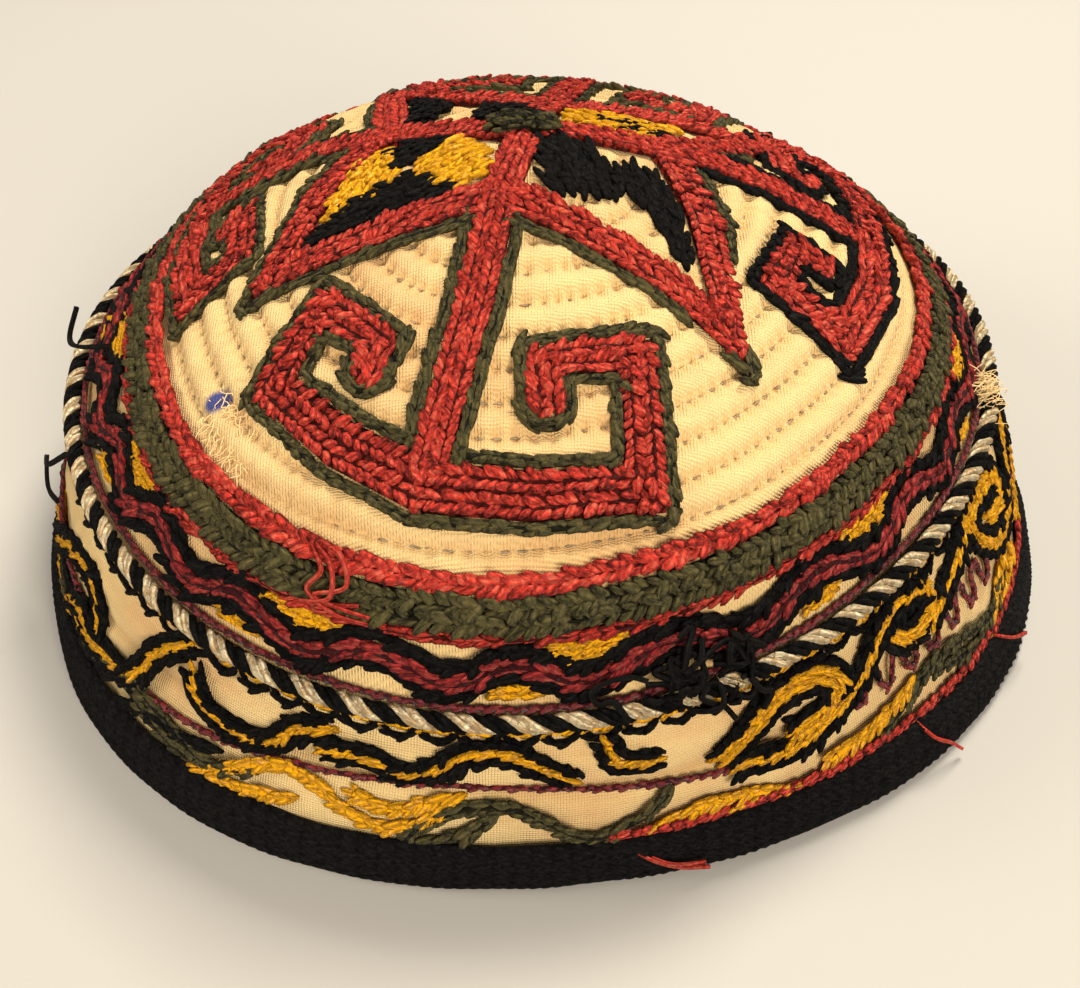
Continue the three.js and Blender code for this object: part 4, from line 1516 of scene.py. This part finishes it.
class SKULLCAP_OT_side(bpy.types.Operator):
    """Stitch the vine and the leaves on the side wall"""

    bl_idname = "skullcap.side"
    bl_label = "Side embroidery"

    def execute(self, context):
        paths = vine_paths()
        lines = [side_line(path, lift=0.7) for half, path in paths if half < 1]
        for half, path in paths:
            if half >= 1:
                lines += [side_line(offset_path(path, side * half / 2), lift=0.75) for side in (-1, 1)]
        stitch_rows("vine_yellow", lines, "yellow", "vine")
        stitch_rows("vine_black", vine_edges(paths), "black", "vine edge")
        stitch_rows("half_dots_black", half_dots(lift=0.6, fill=False), "black", "half dot")
        stitch_rows("half_dots_yellow", half_dots(lift=0.5, fill=True), "yellow", "half dot")
        for thread in ("yellow", "green", "black"):
            lines = [side_line(path, lift=0.55) for path in leaf_paths(thread)]
            stitch_rows("leaves_" + thread, lines, thread, "leaf")
        front = side_line(smooth_path(side_mm(RED_LINE)), lift=0.4)
        teeth = tooth_line(35, 74, low=105.2, high=109.6, pitch=4.2, lift=0.5)
        back = side_line(side_mm([(azimuth, 110.5) for azimuth in range(74, 301, 2)]), lift=0.4)
        stitch_rows("side_line_red", [front, teeth, back], "dark red", "side line")
        foot = side_line(side_mm([(azimuth, FOOT_ROW_ARC) for azimuth in range(9, 80)]), lift=1.0)
        stitch_rows("foot_line_red", [foot], "red", "foot line")
        return {"FINISHED"}


# The rows of the tuft in the middle of the crown, in flat millimetres.
TUFT_ROWS = (
    ((-6, 4.6), (-2, 5.6), (3.5, 4.4)),
    ((-5.2, 6.6), (-1, 7.6), (2.6, 6.4)),
    ((-4.6, 2.8), (-1, 3.2), (3, 2.2)),
)


class SKULLCAP_OT_fine(bpy.types.Operator):
    """Sew the quilting and tie the tuft"""

    bl_idname = "skullcap.fine"
    bl_label = "Quilting stitches and tuft"

    def execute(self, context):
        sizes = context.scene.skullcap_sizes
        spacing = {"Step": 2 * sizes.stitch_gap, "Stitch Length": 0.72 * sizes.stitch_gap}
        stitch_rows("quilting_stitches", quilting_rows(sizes), "pale", "quilting", **spacing)
        lines = [flat_line(smooth_path(row), lift=2.2) for row in TUFT_ROWS]
        stitch_rows("tuft_green", lines, "green", "tuft", ["centre_tuft"])
        return {"FINISHED"}


# Loose ends, listed one by one: thread, azimuths and arcs, and lifts off the cloth.
LOOSE_ENDS = (
    ("black", ((-86, 84), (-88, 88), (-91, 90), (-93, 86)), (2, 5, 6, 8)),
    ("black", ((-72, 93), (-74, 98), (-78, 101), (-77, 106), (-73, 104)), (4, 5, 4, 3, 2)),
    ("red", ((-26, 71.5), (-22.5, 72.5), (-21, 76), (-24.5, 78.5), (-18, 79.5)), (1.8, 3, 3.2, 3, 2)),
    ("red", ((-26.5, 72), (-23.5, 74), (-22.5, 78), (-26, 80), (-19.5, 78.2)), (1.8, 2.8, 3.4, 2.8, 2)),
    ("red", ((-27, 72.5), (-24.5, 75), (-25.5, 78), (-22, 80.2), (-18, 80.6)), (1.6, 2.8, 3, 2.4, 1.8)),
    ("red", ((10, 121.5), (12.5, 123.6), (15, 125.5), (18, 126.5)), (1.2, 3.2, 3.8, 4.2)),
    ("red", ((10.5, 122), (14, 124.4), (17.5, 125)), (1.2, 3.6, 4.2)),
    ("red", ((45, 119), (46, 122), (48, 125), (49.5, 128)), (1.2, 3.4, 3.8, 3.9)),
    ("red", ((61, 119), (63, 121.5), (66, 124.5)), (1.2, 3.2, 3.6)),
)


WORN_AZIMUTH = math.degrees(math.atan2(-53, 40))
# Frayed patches: middle as an azimuth and an arc, spread, number of fibres, their length, seed,
# lift, and how far they turn from the way down the cloth. The first and last are the worn place.
FRAYED = (
    ((WORN_AZIMUTH + 5, 66), (3.4, 2.6), 42, 6.0, 41, 0.35, 0.5),
    ((82, 92), (1.2, 1.6), 34, 5.5, 42, 3.0, 3.0),
    ((WORN_AZIMUTH + 1, 63), (2.6, 1.6), 10, 4.0, 43, 0.5, 3.0),
)


class SKULLCAP_OT_loose(bpy.types.Operator):
    """Lay the loose ends, the tangle and the frayed places"""

    bl_idname = "skullcap.loose"
    bl_label = "Loose threads"

    def execute(self, context):
        ends = {thread: [] for thread in ("black", "red", "lint")}
        for thread, path, lifts in LOOSE_ENDS:
            ends[thread].append(strand_over(path, lifts))
        tube_piece("loose_black", tangled_strands(17) + ends["black"], radius=0.52, thread="black")
        tube_piece("loose_red", ends["red"], radius=0.38, thread="red")
        for row in FRAYED:
            ends["lint"] += frayed_fibres(*row)
        tube_piece("loose_pale", ends["lint"], radius=0.08, thread="lint")
        return {"FINISHED"}


# Lamps: place in metres, power, size and colour. Each one points at the origin.
LAMPS = (
    ("key", (0.2, 0.32, 0.72), 8.0, 0.28, (1.0, 0.92, 0.77)),
    ("fill", (0.26, -0.8, 0.5), 9.5, 0.4, (1.0, 0.89, 0.74)),
    ("side", (-0.8, -0.1, 0.55), 4.5, 0.4, (1.0, 0.9, 0.75)),
)


# The floor, the light of the room, and the camera with its place in metres and turn in degrees.
FLOOR_HALF = 3.0
FLOOR_COLOUR = (0.45, 0.44, 0.42)
FLOOR_SHADE = (0.43, 0.42, 0.4)
ROOM_LIGHT = (1.0, 0.95, 0.88)
ROOM_STRENGTH = 0.3
SENSOR_WIDTH = 36.0
LENS_LENGTH = 50.0
CAMERA_PLACE = (-0.0025, -0.2147, 0.2022)
CAMERA_TURN = (46.86, 0.0, -0.6)


class SKULLCAP_OT_stage(bpy.types.Operator):
    """Set the floor, the lights and the camera"""

    bl_idname = "skullcap.stage"
    bl_label = "Stage"

    def execute(self, context):
        floor_material, graph = new_material("floor")
        grain = graph.noise(graph.add("ShaderNodeTexCoord")["Object"], 3.0)
        tone = graph.mix(grain * 0.2, rgb(FLOOR_COLOUR), rgb(FLOOR_SHADE))
        close_material(graph, tone, 0.9, grain, 0.0001)
        corners = [(x * FLOOR_HALF, y * FLOOR_HALF, 0) for x, y in ((-1, -1), (1, -1), (1, 1), (-1, 1))]
        mesh_object("floor", corners, [(0, 1, 2, 3)], [floor_material])
        for name, place, power, size, colour in LAMPS:
            lamp = bpy.data.lights.new(name, "AREA")
            lamp.energy = power
            lamp.size = size
            lamp.color = colour
            holder = linked(name, lamp)
            holder.location = place
            holder.rotation_euler = (-holder.location).to_track_quat("-Z", "Y").to_euler()
        world = bpy.data.worlds.new("studio")
        world.use_nodes = True
        background = world.node_tree.nodes["Background"]
        background.inputs["Color"].default_value = rgb(ROOM_LIGHT)
        background.inputs["Strength"].default_value = ROOM_STRENGTH
        context.scene.world = world
        context.scene.view_settings.view_transform = "Standard"
        lens = bpy.data.cameras.new("camera")
        lens.sensor_width = SENSOR_WIDTH
        lens.lens = LENS_LENGTH
        camera = linked("camera", lens)
        camera.location = CAMERA_PLACE
        camera.rotation_euler = [math.radians(turn) for turn in CAMERA_TURN]
        context.scene.camera = camera
        return {"FINISHED"}


class SKULLCAP_PT_panel(bpy.types.Panel):
    """Shows the cap's sizes and colours, and a button for each step that makes its pieces"""

    bl_label = "Skullcap"
    bl_space_type = "VIEW_3D"
    bl_region_type = "UI"
    bl_category = "Skullcap"

    def draw(self, context):
        for settings in (context.scene.skullcap_sizes, context.scene.skullcap_colours):
            for name in settings.__annotations__:
                self.layout.prop(settings, name)
        for operator in OPERATORS:
            self.layout.operator(operator.bl_idname)


OPERATORS = (
    SKULLCAP_OT_stage,
    SKULLCAP_OT_cloth,
    SKULLCAP_OT_pattern,
    SKULLCAP_OT_border,
    SKULLCAP_OT_edges,
    SKULLCAP_OT_side,
    SKULLCAP_OT_fine,
    SKULLCAP_OT_loose,
)
CLASSES = (Skullcap_Sizes, Skullcap_Colours, *OPERATORS, SKULLCAP_PT_panel)


def register():
    for made in CLASSES:
        bpy.utils.register_class(made)
    bpy.types.Scene.skullcap_sizes = bpy.props.PointerProperty(type=Skullcap_Sizes)
    bpy.types.Scene.skullcap_colours = bpy.props.PointerProperty(type=Skullcap_Colours)


def unregister():
    del bpy.types.Scene.skullcap_colours
    del bpy.types.Scene.skullcap_sizes
    for made in reversed(CLASSES):
        bpy.utils.unregister_class(made)


def main():
    register()
    for operator in OPERATORS:
        group, name = operator.bl_idname.split(".")
        getattr(getattr(bpy.ops, group), name)()
    for name in ("large_stitch", "small_stitch"):
        bpy.data.objects.remove(bpy.data.objects[name])


if __name__ == "__main__":
    main()
